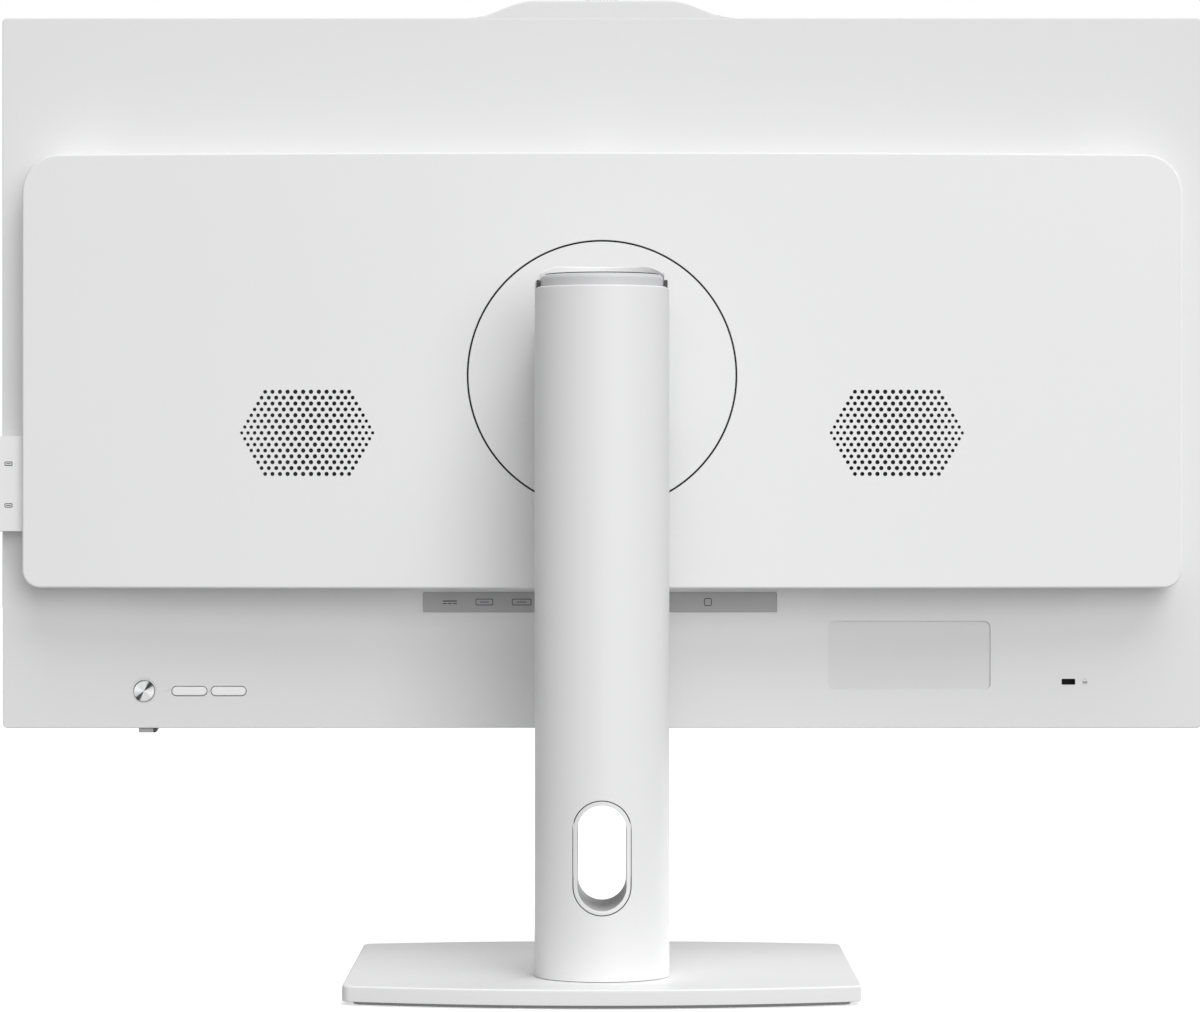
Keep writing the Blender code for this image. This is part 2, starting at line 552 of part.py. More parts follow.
# ---------------------------------------------------------------- display housing
def make_rear_cover(screw_ways):
    half, bottom, top = POD_WIDTH / 2, POD_BOTTOM, POD_TOP
    corners = (POD_BOTTOM_CORNER, POD_BOTTOM_CORNER, POD_TOP_CORNER, POD_TOP_CORNER)
    cover = prism("rear_cover", rectangle((-half, half), (bottom, top), corners), "Y",
                  POD_FRONT_Y, POD_REAR_Y + 0.001, "white_plastic")
    crown = prism("pod_crown", crown_outline(0, POD_FRONT_Y - 0.001, half + 0.01), "Z",
                  bottom - 0.01, top + 0.01, "steel")
    wall = POD_WALL
    inner = [radius - wall for radius in corners]
    hollow = prism("pod_hollow", rectangle((-half + wall, half - wall), (bottom + wall, top - wall), inner), "Y",
                   POD_FRONT_Y - 0.01, POD_REAR_Y, "steel")
    inner_crown = prism("pod_inner_crown", crown_outline(wall, POD_FRONT_Y - 0.02, half + 0.01), "Z",
                        bottom - 0.01, top + 0.01, "steel")
    combine(hollow, inner_crown, "INTERSECT")
    combine(cover, crown, "INTERSECT")
    disc_way = prism("disc_way", circle((0, HEAD_Z), DISC_DIAMETER / 2, 64), "Y", DISC_FRONT_Y - 0.02, 0, "steel")
    plate_low, plate_high = IO_PLATE_X
    plate_front_y = BOARD_FRONT_Y - 0.0005
    io_way = box("io_way", (plate_low - GAP, plate_high + GAP),
                 (plate_front_y - GAP, plate_front_y + IO_PLATE_DEPTH + GAP),
                 (bottom - 0.01, bottom + wall + 0.001), "steel")
    cut(cover, hollow, disc_way, io_way)

    disc = prism("mount_disc", circle((0, HEAD_Z), DISC_DIAMETER / 2 - 2 * GAP, 64), "Y",
                 DISC_FRONT_Y, POD_REAR_Y + 0.001, "white_plastic")
    combine(disc, crown, "INTERSECT")
    cut(disc, *screw_ways)

    plate = box("io_plate", (plate_low, plate_high), (plate_front_y, plate_front_y + IO_PLATE_DEPTH),
                (bottom + GAP, bottom + GAP + 0.001), "steel")
    for name, (x, width, thick, _) in SOCKETS.items():
        cut(plate, box(f"{name}_window", (x - width / 2 - GAP, x + width / 2 + GAP),
                       (ON_BOARD_Y - GAP, ON_BOARD_Y + thick + GAP), (bottom - 0.01, bottom + 0.01), "steel"))


def make_rear_shell():
    half, corners = PANEL_WIDTH / 2, [PANEL_CORNER] * 4
    shell = prism("rear_shell", rectangle((-half, half), (PANEL_BOTTOM, PANEL_TOP), corners), "Y",
                  SHELL_FRONT_Y, PANEL_REAR_Y, "white_plastic")
    wall = SHELL_WALL
    hollow = box("shell_hollow", (-half + wall, half - wall), (SHELL_FRONT_Y - 0.01, SHELL_INNER_Y),
                 (PANEL_BOTTOM + wall, PANEL_TOP - wall), "steel")
    inset = POD_WALL + 0.003
    window = box("shell_window", (-POD_WIDTH / 2 + inset, POD_WIDTH / 2 - inset),
                 (SHELL_INNER_Y - 0.01, PANEL_REAR_Y + 0.01), (POD_BOTTOM + inset, POD_TOP - inset), "steel")
    label = box("label_pocket", LABEL_X, (PANEL_REAR_Y - LABEL_DEPTH, PANEL_REAR_Y + 0.01), LABEL_Z, "steel")
    recess = box("recess_pocket", RECESS_X, (PANEL_REAR_Y - RECESS_DEPTH, PANEL_REAR_Y + 0.01), RECESS_Z, "steel")
    lock = box("lock_way", (LOCK_X - LOCK_SIZE[0] / 2, LOCK_X + LOCK_SIZE[0] / 2),
               (SHELL_FRONT_Y, PANEL_REAR_Y + 0.01), (LOCK_Z - LOCK_SIZE[1] / 2, LOCK_Z + LOCK_SIZE[1] / 2), "steel")
    power = prism("power_way", circle((POWER_X, BUTTON_Z), POWER_DIAMETER / 2 + SLIDE_GAP), "Y",
                  SHELL_FRONT_Y, PANEL_REAR_Y + 0.01, "steel")
    cut(shell, hollow, window, label, recess, lock, power)
    for x in KEY_XS:
        cut(shell, prism(f"key_way_{x}", key_outline(x, SLIDE_GAP), "Y",
                         SHELL_FRONT_Y, PANEL_REAR_Y + 0.01, "steel"))

    box("port_label_strip", (LABEL_X[0] + GAP, LABEL_X[1] - GAP),
        (PANEL_REAR_Y - LABEL_DEPTH + GAP, PANEL_REAR_Y - GAP / 3),
        (LABEL_Z[0] + GAP, LABEL_Z[1] - GAP), "grey_plastic")
    insert = box("lock_slot_insert", (LOCK_X - 0.007, LOCK_X + 0.007),
                 (SHELL_INNER_Y - GAP - 0.002, SHELL_INNER_Y - GAP), (LOCK_Z - 0.005, LOCK_Z + 0.005), "steel")
    cut(insert, lock)
    box("led_window", (LED_CENTRE_X - LED_WIDTH / 2, LED_CENTRE_X + LED_WIDTH / 2),
        (SHELL_FRONT_Y + 0.002, PANEL_REAR_Y - 0.002), (PANEL_BOTTOM - GAP - LED_HEIGHT, PANEL_BOTTOM - GAP),
        "grey_plastic")


def key_outline(x, grow=0.0):
    """A lying capsule about (x, BUTTON_Z)."""
    width, height = KEY_WIDTH + 2 * grow, KEY_HEIGHT + 2 * grow
    low, high = (x - width / 2, x + width / 2), (BUTTON_Z - height / 2, BUTTON_Z + height / 2)
    return rectangle(low, high, [height / 2.001] * 4)


def make_buttons():
    rear_y = PANEL_REAR_Y + BUTTON_PROUD
    prism("power_button", circle((POWER_X, BUTTON_Z), POWER_DIAMETER / 2), "Y", BUTTON_FRONT_Y, rear_y,
          "aluminium", (POWER_X, PANEL_REAR_Y, BUTTON_Z))
    for number, x in enumerate(KEY_XS, 1):
        prism(f"menu_button_{number}", key_outline(x), "Y", BUTTON_FRONT_Y, rear_y, "white_plastic",
              (x, PANEL_REAR_Y, BUTTON_Z))
    margin = 0.010
    box("button_board", (min(KEY_XS) - margin, POWER_X + margin),
        (BUTTON_BOARD_Y - BUTTON_BOARD_THICK, BUTTON_BOARD_Y), (BUTTON_Z - margin, BUTTON_Z + margin),
        "circuit_board")


def make_front():
    half, corners = PANEL_WIDTH / 2, [PANEL_CORNER] * 4
    screen_top = PANEL_TOP - SCREEN_TOP_BORDER
    screen_x = (-SCREEN_WIDTH / 2, SCREEN_WIDTH / 2)
    screen_z = (screen_top - SCREEN_HEIGHT, screen_top)
    bezel = prism("front_bezel", rectangle((-half, half), (PANEL_BOTTOM, PANEL_TOP), corners), "Y",
                  PANEL_FRONT_Y, BEZEL_REAR_Y, "white_plastic")
    cut(bezel, box("bezel_window", (screen_x[0] - GAP, screen_x[1] + GAP),
                   (PANEL_FRONT_Y - 0.01, BEZEL_REAR_Y + 0.01), (screen_z[0] - GAP, screen_z[1] + GAP), "steel"))
    box("lcd_panel", screen_x, (PANEL_FRONT_Y + GAP, BEZEL_REAR_Y), screen_z, "screen_glass")

    inset = SHELL_WALL + GAP
    chassis = box("chassis_plate", (-half + inset, half - inset), (SHELL_FRONT_Y, CHASSIS_REAR_Y),
                  (PANEL_BOTTOM + inset, PANEL_TOP - inset), "steel")
    board_half = BOARD_WIDTH / 2 - 2 * STANDOFF_RADIUS
    posts = [(x, BOARD_BOTTOM + z) for x in (-board_half, board_half) for z in (0.008, BOARD_HEIGHT - 0.008)]
    posts += [(FAN_X + x, FAN_Z) for x in (-FAN_RADIUS, FAN_RADIUS)]
    for number, centre in enumerate(posts, 1):
        join(chassis, prism(f"standoff_{number}", circle(centre, STANDOFF_RADIUS, 12), "Y",
                            SHELL_FRONT_Y + CHASSIS_THICK / 2, CHASSIS_REAR_Y + STANDOFF_HEIGHT, "steel"))


def make_camera():
    steps = 10
    rise = [(1 - k / steps) for k in range(steps + 1)]
    flank = [(CAMERA_TOP_HALF + (CAMERA_FOOT_HALF - CAMERA_TOP_HALF) * s,
              CAMERA_BOTTOM + CAMERA_RISE * (1 - 3 * s ** 2 + 2 * s ** 3)) for s in rise]
    outline = flank + [(-x, z) for x, z in reversed(flank)]
    housing = prism("camera_housing", outline, "Y", CAMERA_FRONT_Y, CAMERA_REAR_Y, "white_plastic")
    mid_y = (CAMERA_FRONT_Y + CAMERA_REAR_Y) / 2
    reach = SLIDER_WIDTH / 2 + SLIDER_TRAVEL + GAP
    deep = SLIDER_DEPTH / 2
    slot = box("slider_slot", (-reach, reach), (mid_y - deep - GAP, mid_y + deep + GAP),
               (CAMERA_TOP - SLOT_DEPTH, CAMERA_TOP + 0.01), "steel")
    lens_z = (CAMERA_BOTTOM + CAMERA_TOP) / 2 - 0.0005
    lens_depth = 0.003
    lens_way = prism("lens_way", circle((0, lens_z), LENS_RADIUS + GAP, 24), "Y",
                     CAMERA_FRONT_Y - 0.01, CAMERA_FRONT_Y + lens_depth + GAP, "steel")
    cut(housing, slot, lens_way)
    prism("camera_lens", circle((0, lens_z), LENS_RADIUS, 24), "Y",
          CAMERA_FRONT_Y, CAMERA_FRONT_Y + lens_depth, "screen_glass")
    box("privacy_slider", (-SLIDER_WIDTH / 2, SLIDER_WIDTH / 2), (mid_y - deep, mid_y + deep),
        (CAMERA_TOP - SLOT_DEPTH + GAP, CAMERA_TOP + SLIDER_PROUD), "dark_plastic", (0, mid_y, CAMERA_TOP))


# ---------------------------------------------------------------- electronics
def make_board():
    half = BOARD_WIDTH / 2
    box("motherboard", (-half, half), (BOARD_FRONT_Y, BOARD_REAR_Y),
        (BOARD_BOTTOM, BOARD_BOTTOM + BOARD_HEIGHT), "circuit_board")
    cooler_x, cooler_z, cooler_half = 0.020, 0.287, 0.024
    box("cpu_cooler", (cooler_x - cooler_half, cooler_x + cooler_half), (ON_BOARD_Y, COOLER_REAR_Y),
        (cooler_z - cooler_half, cooler_z + cooler_half), "aluminium")
    box("ssd_module", (-0.072, -0.050), (ON_BOARD_Y, ON_BOARD_Y + 0.0035), (0.225, 0.305), "circuit_board")
    box("memory_module", (-0.045, 0.0226), (ON_BOARD_Y, ON_BOARD_Y + 0.0045), (0.318, 0.346), "circuit_board")

    leg_x = BRACKET_WIDTH / 2
    low, high = HEAD_Z - BRACKET_HEIGHT / 2, HEAD_Z + BRACKET_HEIGHT / 2
    return cooler_x, cooler_z, (leg_x, low, high)


def make_mount_bracket(screw_ways, leg_x, low, high):
    bracket = box("mount_bracket", (-leg_x, leg_x), (CHASSIS_REAR_Y + GAP, BRACKET_REAR_Y), (low, high), "steel")
    thick = BRACKET_THICK
    hollow = box("bracket_hollow", (-leg_x + thick, leg_x - thick),
                 (CHASSIS_REAR_Y - 0.01, BRACKET_REAR_Y - thick), (low - 0.01, high + 0.01), "steel")
    cut(bracket, hollow, *screw_ways)


def fan_blades(blades=13, hub=0.012, sweep=0.35):
    """The rotor's outline: a hub with swept blades, in (X, Z) about the fan's axis."""
    points = []
    for k in range(blades):
        base = 2 * math.pi * k / blades
        for radius, turn in ((hub, 0.0), (FAN_RADIUS, sweep), (FAN_RADIUS, sweep + 0.05), (hub, 0.12)):
            t = base + turn
            points.append((FAN_X + radius * math.cos(t), FAN_Z + radius * math.sin(t)))
    return points


def make_cooling(cooler_x, cooler_z):
    reach = FAN_RADIUS + FAN_WALL + 0.002
    outer, top = reach + FAN_WALL, FAN_Z + reach + FAN_WALL
    housing = box("fan_housing", (FAN_X - outer, FAN_X + outer), (FAN_FRONT_Y, FAN_FRONT_Y + FAN_DEPTH),
                  (FAN_Z - outer, top), "dark_plastic")
    floor_y, open_y = FAN_FRONT_Y + FAN_WALL, FAN_FRONT_Y + FAN_DEPTH + 0.01
    bowl = prism("fan_bowl", circle((FAN_X, FAN_Z), reach, 32), "Y", floor_y, open_y, "steel")
    outlet = box("fan_outlet", (FAN_X - reach, FAN_X + reach), (floor_y, open_y), (FAN_Z, top + 0.01), "steel")
    shaft = 0.002
    join(bowl, outlet)
    cut(housing, bowl)
    join(housing, prism("fan_shaft", circle((FAN_X, FAN_Z), shaft, 12), "Y", FAN_FRONT_Y + 0.001,
                        FAN_FRONT_Y + FAN_DEPTH - 0.003, "steel"))

    rotor = prism("fan_rotor", fan_blades(), "Y", floor_y + GAP, FAN_FRONT_Y + FAN_DEPTH - 0.001,
                  "dark_plastic", (FAN_X, FAN_FRONT_Y, FAN_Z))
    cut(rotor, prism("rotor_bore", circle((FAN_X, FAN_Z), shaft + GAP, 12), "Y", floor_y - 0.01,
                     FAN_FRONT_Y + FAN_DEPTH - 0.0025, "steel"))

    fin_low = top + GAP
    fins = box("heatsink_fins", (FAN_X - reach, FAN_X + reach), (FAN_FRONT_Y, COOLER_REAR_Y),
               (fin_low, fin_low + FIN_HEIGHT), "aluminium")
    count, spacing = 14, 2 * reach / 15
    for k in range(count):
        x = FAN_X - reach + spacing * (k + 1)
        cut(fins, box(f"fin_gap_{k}", (x - 0.0014, x + 0.0014), (FAN_FRONT_Y - 0.01, COOLER_REAR_Y - 0.0015),
                      (fin_low - 0.01, fin_low + FIN_HEIGHT + 0.01), "steel"))

    pipe_y = COOLER_REAR_Y + GAP + PIPE_RADIUS
    fin_z = fin_low + FIN_HEIGHT / 2
    route = [(cooler_x, cooler_z - 0.020), (cooler_x, cooler_z + 0.045), (cooler_x + 0.010, fin_z - 0.020),
             (cooler_x + 0.038, fin_z - 0.002), (cooler_x + 0.075, fin_z), (FAN_X + reach - 0.003, fin_z)]
    curve = bpy.data.curves.new("heat_pipe", "CURVE")
    curve.dimensions = "3D"
    curve.bevel_depth = PIPE_RADIUS
    curve.bevel_resolution = 2
    curve.use_fill_caps = True
    line = curve.splines.new("POLY")
    line.points.add(len(route) - 1)
    for point, (x, z) in zip(line.points, route):
        point.co = (x, pipe_y, z, 1)
    curve.materials.append(material("copper"))
    bpy.context.scene.collection.objects.link(bpy.data.objects.new("heat_pipe", curve))


def make_speakers():
    width, depth, height = SPEAKER_SIZE
    far = SPEAKER_X + width / 2
    rear_y = POD_REAR_Y - POD_WALL - far ** 2 / (2 * POD_CROWN_RADIUS) - GAP
    for side, name in ((1, "left"), (-1, "right")):
        low, high = sorted((side * (SPEAKER_X - width / 2), side * far))
        box(f"speaker_{name}", (low, high), (rear_y - depth, rear_y),
            (SPEAKER_Z - height / 2, SPEAKER_Z + height / 2), "dark_plastic")


def make_sockets():
    mouth = POD_BOTTOM + SOCKET_MOUTH
    for name, (x, width, thick, length) in SOCKETS.items():
        y0, y1 = ON_BOARD_Y, ON_BOARD_Y + thick
        body = box(name, (x - width / 2, x + width / 2), (y0, y1), (mouth, mouth + length), "steel")
        low, high = mouth - 0.01, mouth + length - 0.003
        mid_y = (y0 + y1) / 2
        if name in ("dc_socket", "audio_socket"):
            radius = 0.0032 if name == "dc_socket" else 0.0018
            way = prism(f"{name}_way", circle((x, mid_y), radius, 16), "Z", low, high, "steel")
            cut(body, way)
            if name == "dc_socket":
                join(body, prism("dc_pin", circle((x, mid_y), 0.0008, 12), "Z", mouth + 0.001,
                                 high + 0.001, "steel"))
            continue
        way = box(f"{name}_way", (x - width / 2 + SOCKET_WALL, x + width / 2 - SOCKET_WALL),
                  (y0 + SOCKET_WALL, y1 - SOCKET_WALL), (low, high), "steel")
        cut(body, way)
        if name != "lan_socket":
            tongue = width * 0.38
            join(body, box(f"{name}_tongue", (x - tongue, x + tongue), (mid_y - 0.0007, mid_y + 0.0007),
                           (mouth + 0.002, high + 0.001), "dark_plastic"))


def make_side_ports():
    outer = PANEL_WIDTH / 2 - GAP
    block = box("side_io_block", (outer - SIDE_BLOCK_WIDTH, outer), (POD_FRONT_Y, SIDE_BLOCK_REAR_Y),
                SIDE_BLOCK_Z, "white_plastic")
    length, thick, width = SIDE_PORT_SIZE
    mid_y = (POD_FRONT_Y + SIDE_BLOCK_REAR_Y) / 2
    for number, z in enumerate(SIDE_PORT_ZS, 1):
        y_range, z_range = (mid_y - thick / 2, mid_y + thick / 2), (z - width / 2, z + width / 2)
        cut(block, box(f"side_port_seat_{number}", (outer - length - GAP, outer + 0.01),
                       (y_range[0] - GAP, y_range[1] + GAP), (z_range[0] - GAP, z_range[1] + GAP), "steel"))
        port = box(f"side_usb_socket_{number}", (outer - length, outer - GAP), y_range, z_range, "steel")
        wall = SOCKET_WALL
        cut(port, box(f"side_port_way_{number}", (outer - length + 0.002, outer + 0.01),
                      (y_range[0] + wall, y_range[1] - wall), (z_range[0] + wall, z_range[1] - wall), "steel"))
        join(port, box(f"side_tongue_{number}", (outer - length + 0.001, outer - 0.002),
                       (mid_y - 0.0007, mid_y + 0.0007), (z - width * 0.38, z + width * 0.38), "dark_plastic"))


def main():
    clear_scene()
    screw_way = make_base()
    cable_way = make_column()
    make_spine(cable_way, screw_way)
    make_carriage()
    pin_way = make_hinge()
    tilt_ways = make_tilt_bracket(pin_way)
    make_rear_cover(tilt_ways)
    make_rear_shell()
    make_buttons()
    make_front()
    make_camera()
    cooler_x, cooler_z, bracket = make_board()
    make_mount_bracket(tilt_ways, *bracket)
    make_cooling(cooler_x, cooler_z)
    make_speakers()
    make_sockets()
    make_side_ports()


main()
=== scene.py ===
import bmesh
import bpy
import math
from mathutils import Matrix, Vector


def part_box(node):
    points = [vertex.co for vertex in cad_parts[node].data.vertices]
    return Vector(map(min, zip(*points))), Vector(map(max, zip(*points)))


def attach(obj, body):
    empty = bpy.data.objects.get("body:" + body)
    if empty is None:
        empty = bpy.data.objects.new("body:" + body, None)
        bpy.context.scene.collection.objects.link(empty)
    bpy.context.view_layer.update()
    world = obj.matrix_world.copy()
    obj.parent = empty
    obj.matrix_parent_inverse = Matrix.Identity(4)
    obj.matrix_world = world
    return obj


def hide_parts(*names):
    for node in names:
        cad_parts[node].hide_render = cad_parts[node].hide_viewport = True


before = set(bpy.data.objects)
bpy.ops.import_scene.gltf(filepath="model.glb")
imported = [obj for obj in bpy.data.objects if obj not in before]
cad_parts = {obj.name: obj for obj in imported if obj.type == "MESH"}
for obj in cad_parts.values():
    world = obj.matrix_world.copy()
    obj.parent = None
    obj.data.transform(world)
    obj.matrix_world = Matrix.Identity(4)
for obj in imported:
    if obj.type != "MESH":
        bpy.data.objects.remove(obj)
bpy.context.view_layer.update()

# ---------------------------------------------------------------- studio
# A plain white room for a product shot: a level camera behind the computer, one broad soft light
# from the camera's side, a stronger one from high up, a third for the screen side, and a pale floor.
lens_height = 0.2365
lens_reach = 1.880

camera_data = bpy.data.cameras.new("studio_camera")
camera_data.sensor_width = 36.0
camera_data.lens = 114.1
camera_data.shift_x = -0.00167
camera_data.shift_y = -0.00083
camera = bpy.data.objects.new("studio_camera", camera_data)
camera.location = (0.0, lens_reach, lens_height)
camera.rotation_euler = (math.radians(90), 0.0, math.radians(180))
bpy.context.scene.collection.objects.link(camera)
bpy.context.scene.camera = camera


def soft_light(name, height, side, level, spread):
    """Even light from that many degrees up, and to the -X side of the camera's. Its spread, also
    in degrees, softens it as a big diffuser does, and level 1 would light a white card fully."""
    data = bpy.data.lights.new(name, "SUN")
    data.angle = math.radians(spread)
    data.energy = level * math.pi / 0.8
    up, round_by = math.radians(height), math.radians(side)
    flat = math.cos(up)
    source = Vector((-math.sin(round_by) * flat, math.cos(round_by) * flat, math.sin(up)))
    lamp = bpy.data.objects.new(name, data)
    lamp.rotation_euler = source.to_track_quat("Z", "Y").to_euler()
    bpy.context.scene.collection.objects.link(lamp)


soft_light("camera_side_light", 14.0, 15.0, 0.38, 44.0)
soft_light("high_light", 64.0, 30.0, 0.47, 50.0)
soft_light("screen_side_light", 15.0, 132.0, 0.42, 40.0)

world = bpy.data.worlds.new("white_room")
bpy.context.scene.world = world
world.use_nodes = True
sky = world.node_tree.nodes["Background"]
sky.inputs["Color"].default_value = (1.0, 1.0, 1.0, 1.0)
seen = world.node_tree.nodes.new("ShaderNodeLightPath")
level = world.node_tree.nodes.new("ShaderNodeMapRange")
level.inputs["To Min"].default_value = 0.30
level.inputs["To Max"].default_value = 1.0
world.node_tree.links.new(seen.outputs["Is Camera Ray"], level.inputs["Value"])
world.node_tree.links.new(level.outputs["Result"], sky.inputs["Strength"])
bpy.context.scene.view_settings.view_transform = "Standard"

bpy.ops.object.select_all(action="DESELECT")
bpy.ops.mesh.primitive_plane_add(size=14.0, location=(0.0, 0.0, 0.0))
floor = bpy.context.active_object
floor.name = "studio_floor"
floor.visible_diffuse = False
floor_paint = bpy.data.materials.new("pale_floor")
floor_paint.use_nodes = True
floor_shader = floor_paint.node_tree.nodes["Principled BSDF"]
floor_shader.inputs["Base Color"].default_value = (0.95, 0.95, 0.95, 1.0)
floor_shader.inputs["Roughness"].default_value = 0.9
floor_shader.inputs["Emission Color"].default_value = (1.0, 1.0, 1.0, 1.0)
floor_shader.inputs["Emission Strength"].default_value = 0.45
floor.data.materials.append(floor_paint)


# ---------------------------------------------------------------- base cover
# The white top of the foot, one ABS moulding with straight sides and gently bowed front and rear
# edges. It drops over the steel weight, and a step under its rim leaves a thin shadow line.
def only(obj):
    """Leaves obj as the one selected and active object, in object mode."""
    if bpy.context.object and bpy.context.object.mode != "OBJECT":
        bpy.ops.object.mode_set(mode="OBJECT")
    bpy.ops.object.select_all(action="DESELECT")
    obj.select_set(True)
    bpy.context.view_layer.objects.active = obj


def named(name):
    """The primitive just added, with its place and size put into its mesh."""
    obj = bpy.context.active_object
    obj.name = obj.data.name = name
    bpy.ops.object.transform_apply(location=True, rotation=True, scale=True)
    return obj


def block(name, low, high):
    """A cuboid between two corners."""
    bpy.ops.object.select_all(action="DESELECT")
    low, high = Vector(low), Vector(high)
    bpy.ops.mesh.primitive_cube_add(size=1.0, location=(low + high) / 2, scale=high - low)
    return named(name)


def select(obj, kind, test):
    """Opens obj in edit mode with just the vertices, edges or faces that pass the test selected."""
    only(obj)
    bpy.ops.object.mode_set(mode="EDIT")
    bpy.ops.mesh.select_mode(type=kind)
    bpy.ops.mesh.select_all(action="DESELECT")
    mesh = bmesh.from_edit_mesh(obj.data)
    for item in {"VERT": mesh.verts, "EDGE": mesh.edges, "FACE": mesh.faces}[kind]:
        if test(item):
            item.select_set(True)
    bmesh.update_edit_mesh(obj.data)


def done():
    bpy.ops.object.mode_set(mode="OBJECT")


def everything(item):
    return True


def round_edges(obj, test, radius, segments=4):
    select(obj, "EDGE", test)
    bpy.ops.mesh.bevel(offset=radius, segments=segments, affect="EDGES")
    done()


def slice_at(obj, x):
    """Splits obj's faces where they cross that X."""
    select(obj, "FACE", everything)
    bpy.ops.mesh.bisect(plane_co=(x, 0.0, 0.0), plane_no=(1.0, 0.0, 0.0))
    done()


def push(obj, test, offset):
    """Moves the vertices that pass the test."""
    select(obj, "VERT", test)
    bpy.ops.transform.translate(value=offset)
    done()


def runs_along(edge, axis):
    """True for an edge parallel to that axis, 0 to 2 for X to Z."""
    step = edge.verts[1].co - edge.verts[0].co
    return abs(step[axis]) > 0.999 * step.length


def along_y(edge):
    return runs_along(edge, 1)


def along_z(edge):
    return runs_along(edge, 2)


def parts_faces(edge, one, other):
    """True for an edge between a face that passes one test and a face that passes the other."""
    if len(edge.link_faces) != 2:
        return False
    a, b = edge.link_faces
    return (one(a) and other(b)) or (one(b) and other(a))


def faces_up(face):
    return face.normal.z > 0.9


def faces_down(face):
    return face.normal.z < -0.9


def stands(face):
    return abs(face.normal.z) < 0.5


def top_rim(edge):
    return parts_faces(edge, faces_up, stands)


def bottom_rim(edge):
    return parts_faces(edge, faces_down, stands)


def sink(obj, test, wall, offset):
    """Moves the faces that pass the test by offset, and leaves a wall that thick standing round them."""
    select(obj, "FACE", test)
    bpy.ops.mesh.inset(thickness=wall)
    bpy.ops.mesh.extrude_region_move(TRANSFORM_OT_translate={"value": offset})
    done()


def blank_paint(name):
    """A new material, and the Object coordinates that its patterns are laid out by."""
    paint = bpy.data.materials.new(name)
    paint.use_nodes = True
    return paint, paint.node_tree.nodes.new("ShaderNodeTexCoord").outputs["Object"]


def shader_of(paint):
    return paint.node_tree.nodes["Principled BSDF"]


def clouds(paint, where, scale, detail=2.0):
    """A soft random pattern with about that many lumps to the metre."""
    noise = paint.node_tree.nodes.new("ShaderNodeTexNoise")
    noise.inputs["Scale"].default_value = scale
    noise.inputs["Detail"].default_value = detail
    paint.node_tree.links.new(where, noise.inputs["Vector"])
    return noise.outputs["Fac"]


def shaded(colour, by):
    """The same colour made that many times as bright."""
    return [min(1.0, c * by) for c in colour]


def vary_tone(paint, pattern, dark, light):
    """Lets the colour drift between the two, as the pattern goes."""
    tone = paint.node_tree.nodes.new("ShaderNodeMix")
    tone.data_type = "RGBA"
    tone.inputs[6].default_value = (*dark, 1.0)
    tone.inputs[7].default_value = (*light, 1.0)
    paint.node_tree.links.new(pattern, tone.inputs["Factor"])
    paint.node_tree.links.new(tone.outputs[2], shader_of(paint).inputs["Base Color"])


def vary_gloss(paint, pattern, smoothest, roughest):
    gloss = paint.node_tree.nodes.new("ShaderNodeMapRange")
    gloss.inputs["To Min"].default_value = smoothest
    gloss.inputs["To Max"].default_value = roughest
    paint.node_tree.links.new(pattern, gloss.inputs["Value"])
    paint.node_tree.links.new(gloss.outputs["Result"], shader_of(paint).inputs["Roughness"])


def raise_relief(paint, pattern, strength, height):
    relief = paint.node_tree.nodes.new("ShaderNodeBump")
    relief.inputs["Strength"].default_value = strength
    relief.inputs["Distance"].default_value = height
    paint.node_tree.links.new(pattern, relief.inputs["Height"])
    paint.node_tree.links.new(relief.outputs["Normal"], shader_of(paint).inputs["Normal"])


def moulded_plastic(name, colour, roughness, grain=0.06, grain_scale=1500.0, tint=0.010):
    """Injection-moulded plastic: a fine even grain, and slow drifts of tone and of gloss."""
    paint, where = blank_paint(name)
    slow = clouds(paint, where, 9.0, 3.0)
    vary_tone(paint, slow, shaded(colour, 1 - tint), shaded(colour, 1 + tint))
    vary_gloss(paint, slow, roughness - 0.05, roughness + 0.05)
    raise_relief(paint, clouds(paint, where, grain_scale), grain, 0.0002)
    return paint


def finish_piece(obj, body, paint, slot, *nodes, angle=30.0):
    """Smooths obj between its sharp edges, with its flat faces kept flat, paints it, and hangs it
    on its body in place of nodes."""
    only(obj)
    bpy.ops.object.shade_smooth_by_angle(angle=math.radians(angle))
    bpy.ops.object.modifier_add(type="WEIGHTED_NORMAL")
    obj.modifiers[-1].keep_sharp = True
    bpy.ops.object.modifier_apply(modifier=obj.modifiers[-1].name)
    obj.data.materials.clear()
    obj.data.materials.append(paint)
    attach(obj, body)
    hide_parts(*nodes)
    return obj


white_abs = moulded_plastic("white_abs", (0.80, 0.80, 0.802), 0.48)

base_low, base_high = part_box("base_shell")
rear_bow, front_bow = 0.0156, 0.0120
base_corner, base_top_round, base_foot_round = 0.0040, 0.0010, 0.0004
base_wall = 0.0023


def bowed_slab(name, inset, bottom, top, cuts=12):
    """A slab of the base's outline drawn in by inset: straight sides, bowed front and rear."""
    half, reach = base_high.x - inset, base_high.y - inset
    slab = block(name, (-half, -reach, bottom), (half, reach, top))
    for k in range(1 - cuts, cuts):
        slice_at(slab, half * k / cuts)
    for k in range(-cuts, cuts + 1):
        for side, bow in ((1, rear_bow), (-1, front_bow)):
            push(slab, lambda v: abs(v.co.x - half * k / cuts) < 1e-5 and v.co.y * side > reach / 2,
                 (0.0, -side * bow * (k / cuts) ** 2, 0.0))
    round_edges(slab, lambda e: along_z(e) and abs(abs(e.verts[0].co.x) - half) < 1e-5, base_corner, 6)
    return slab


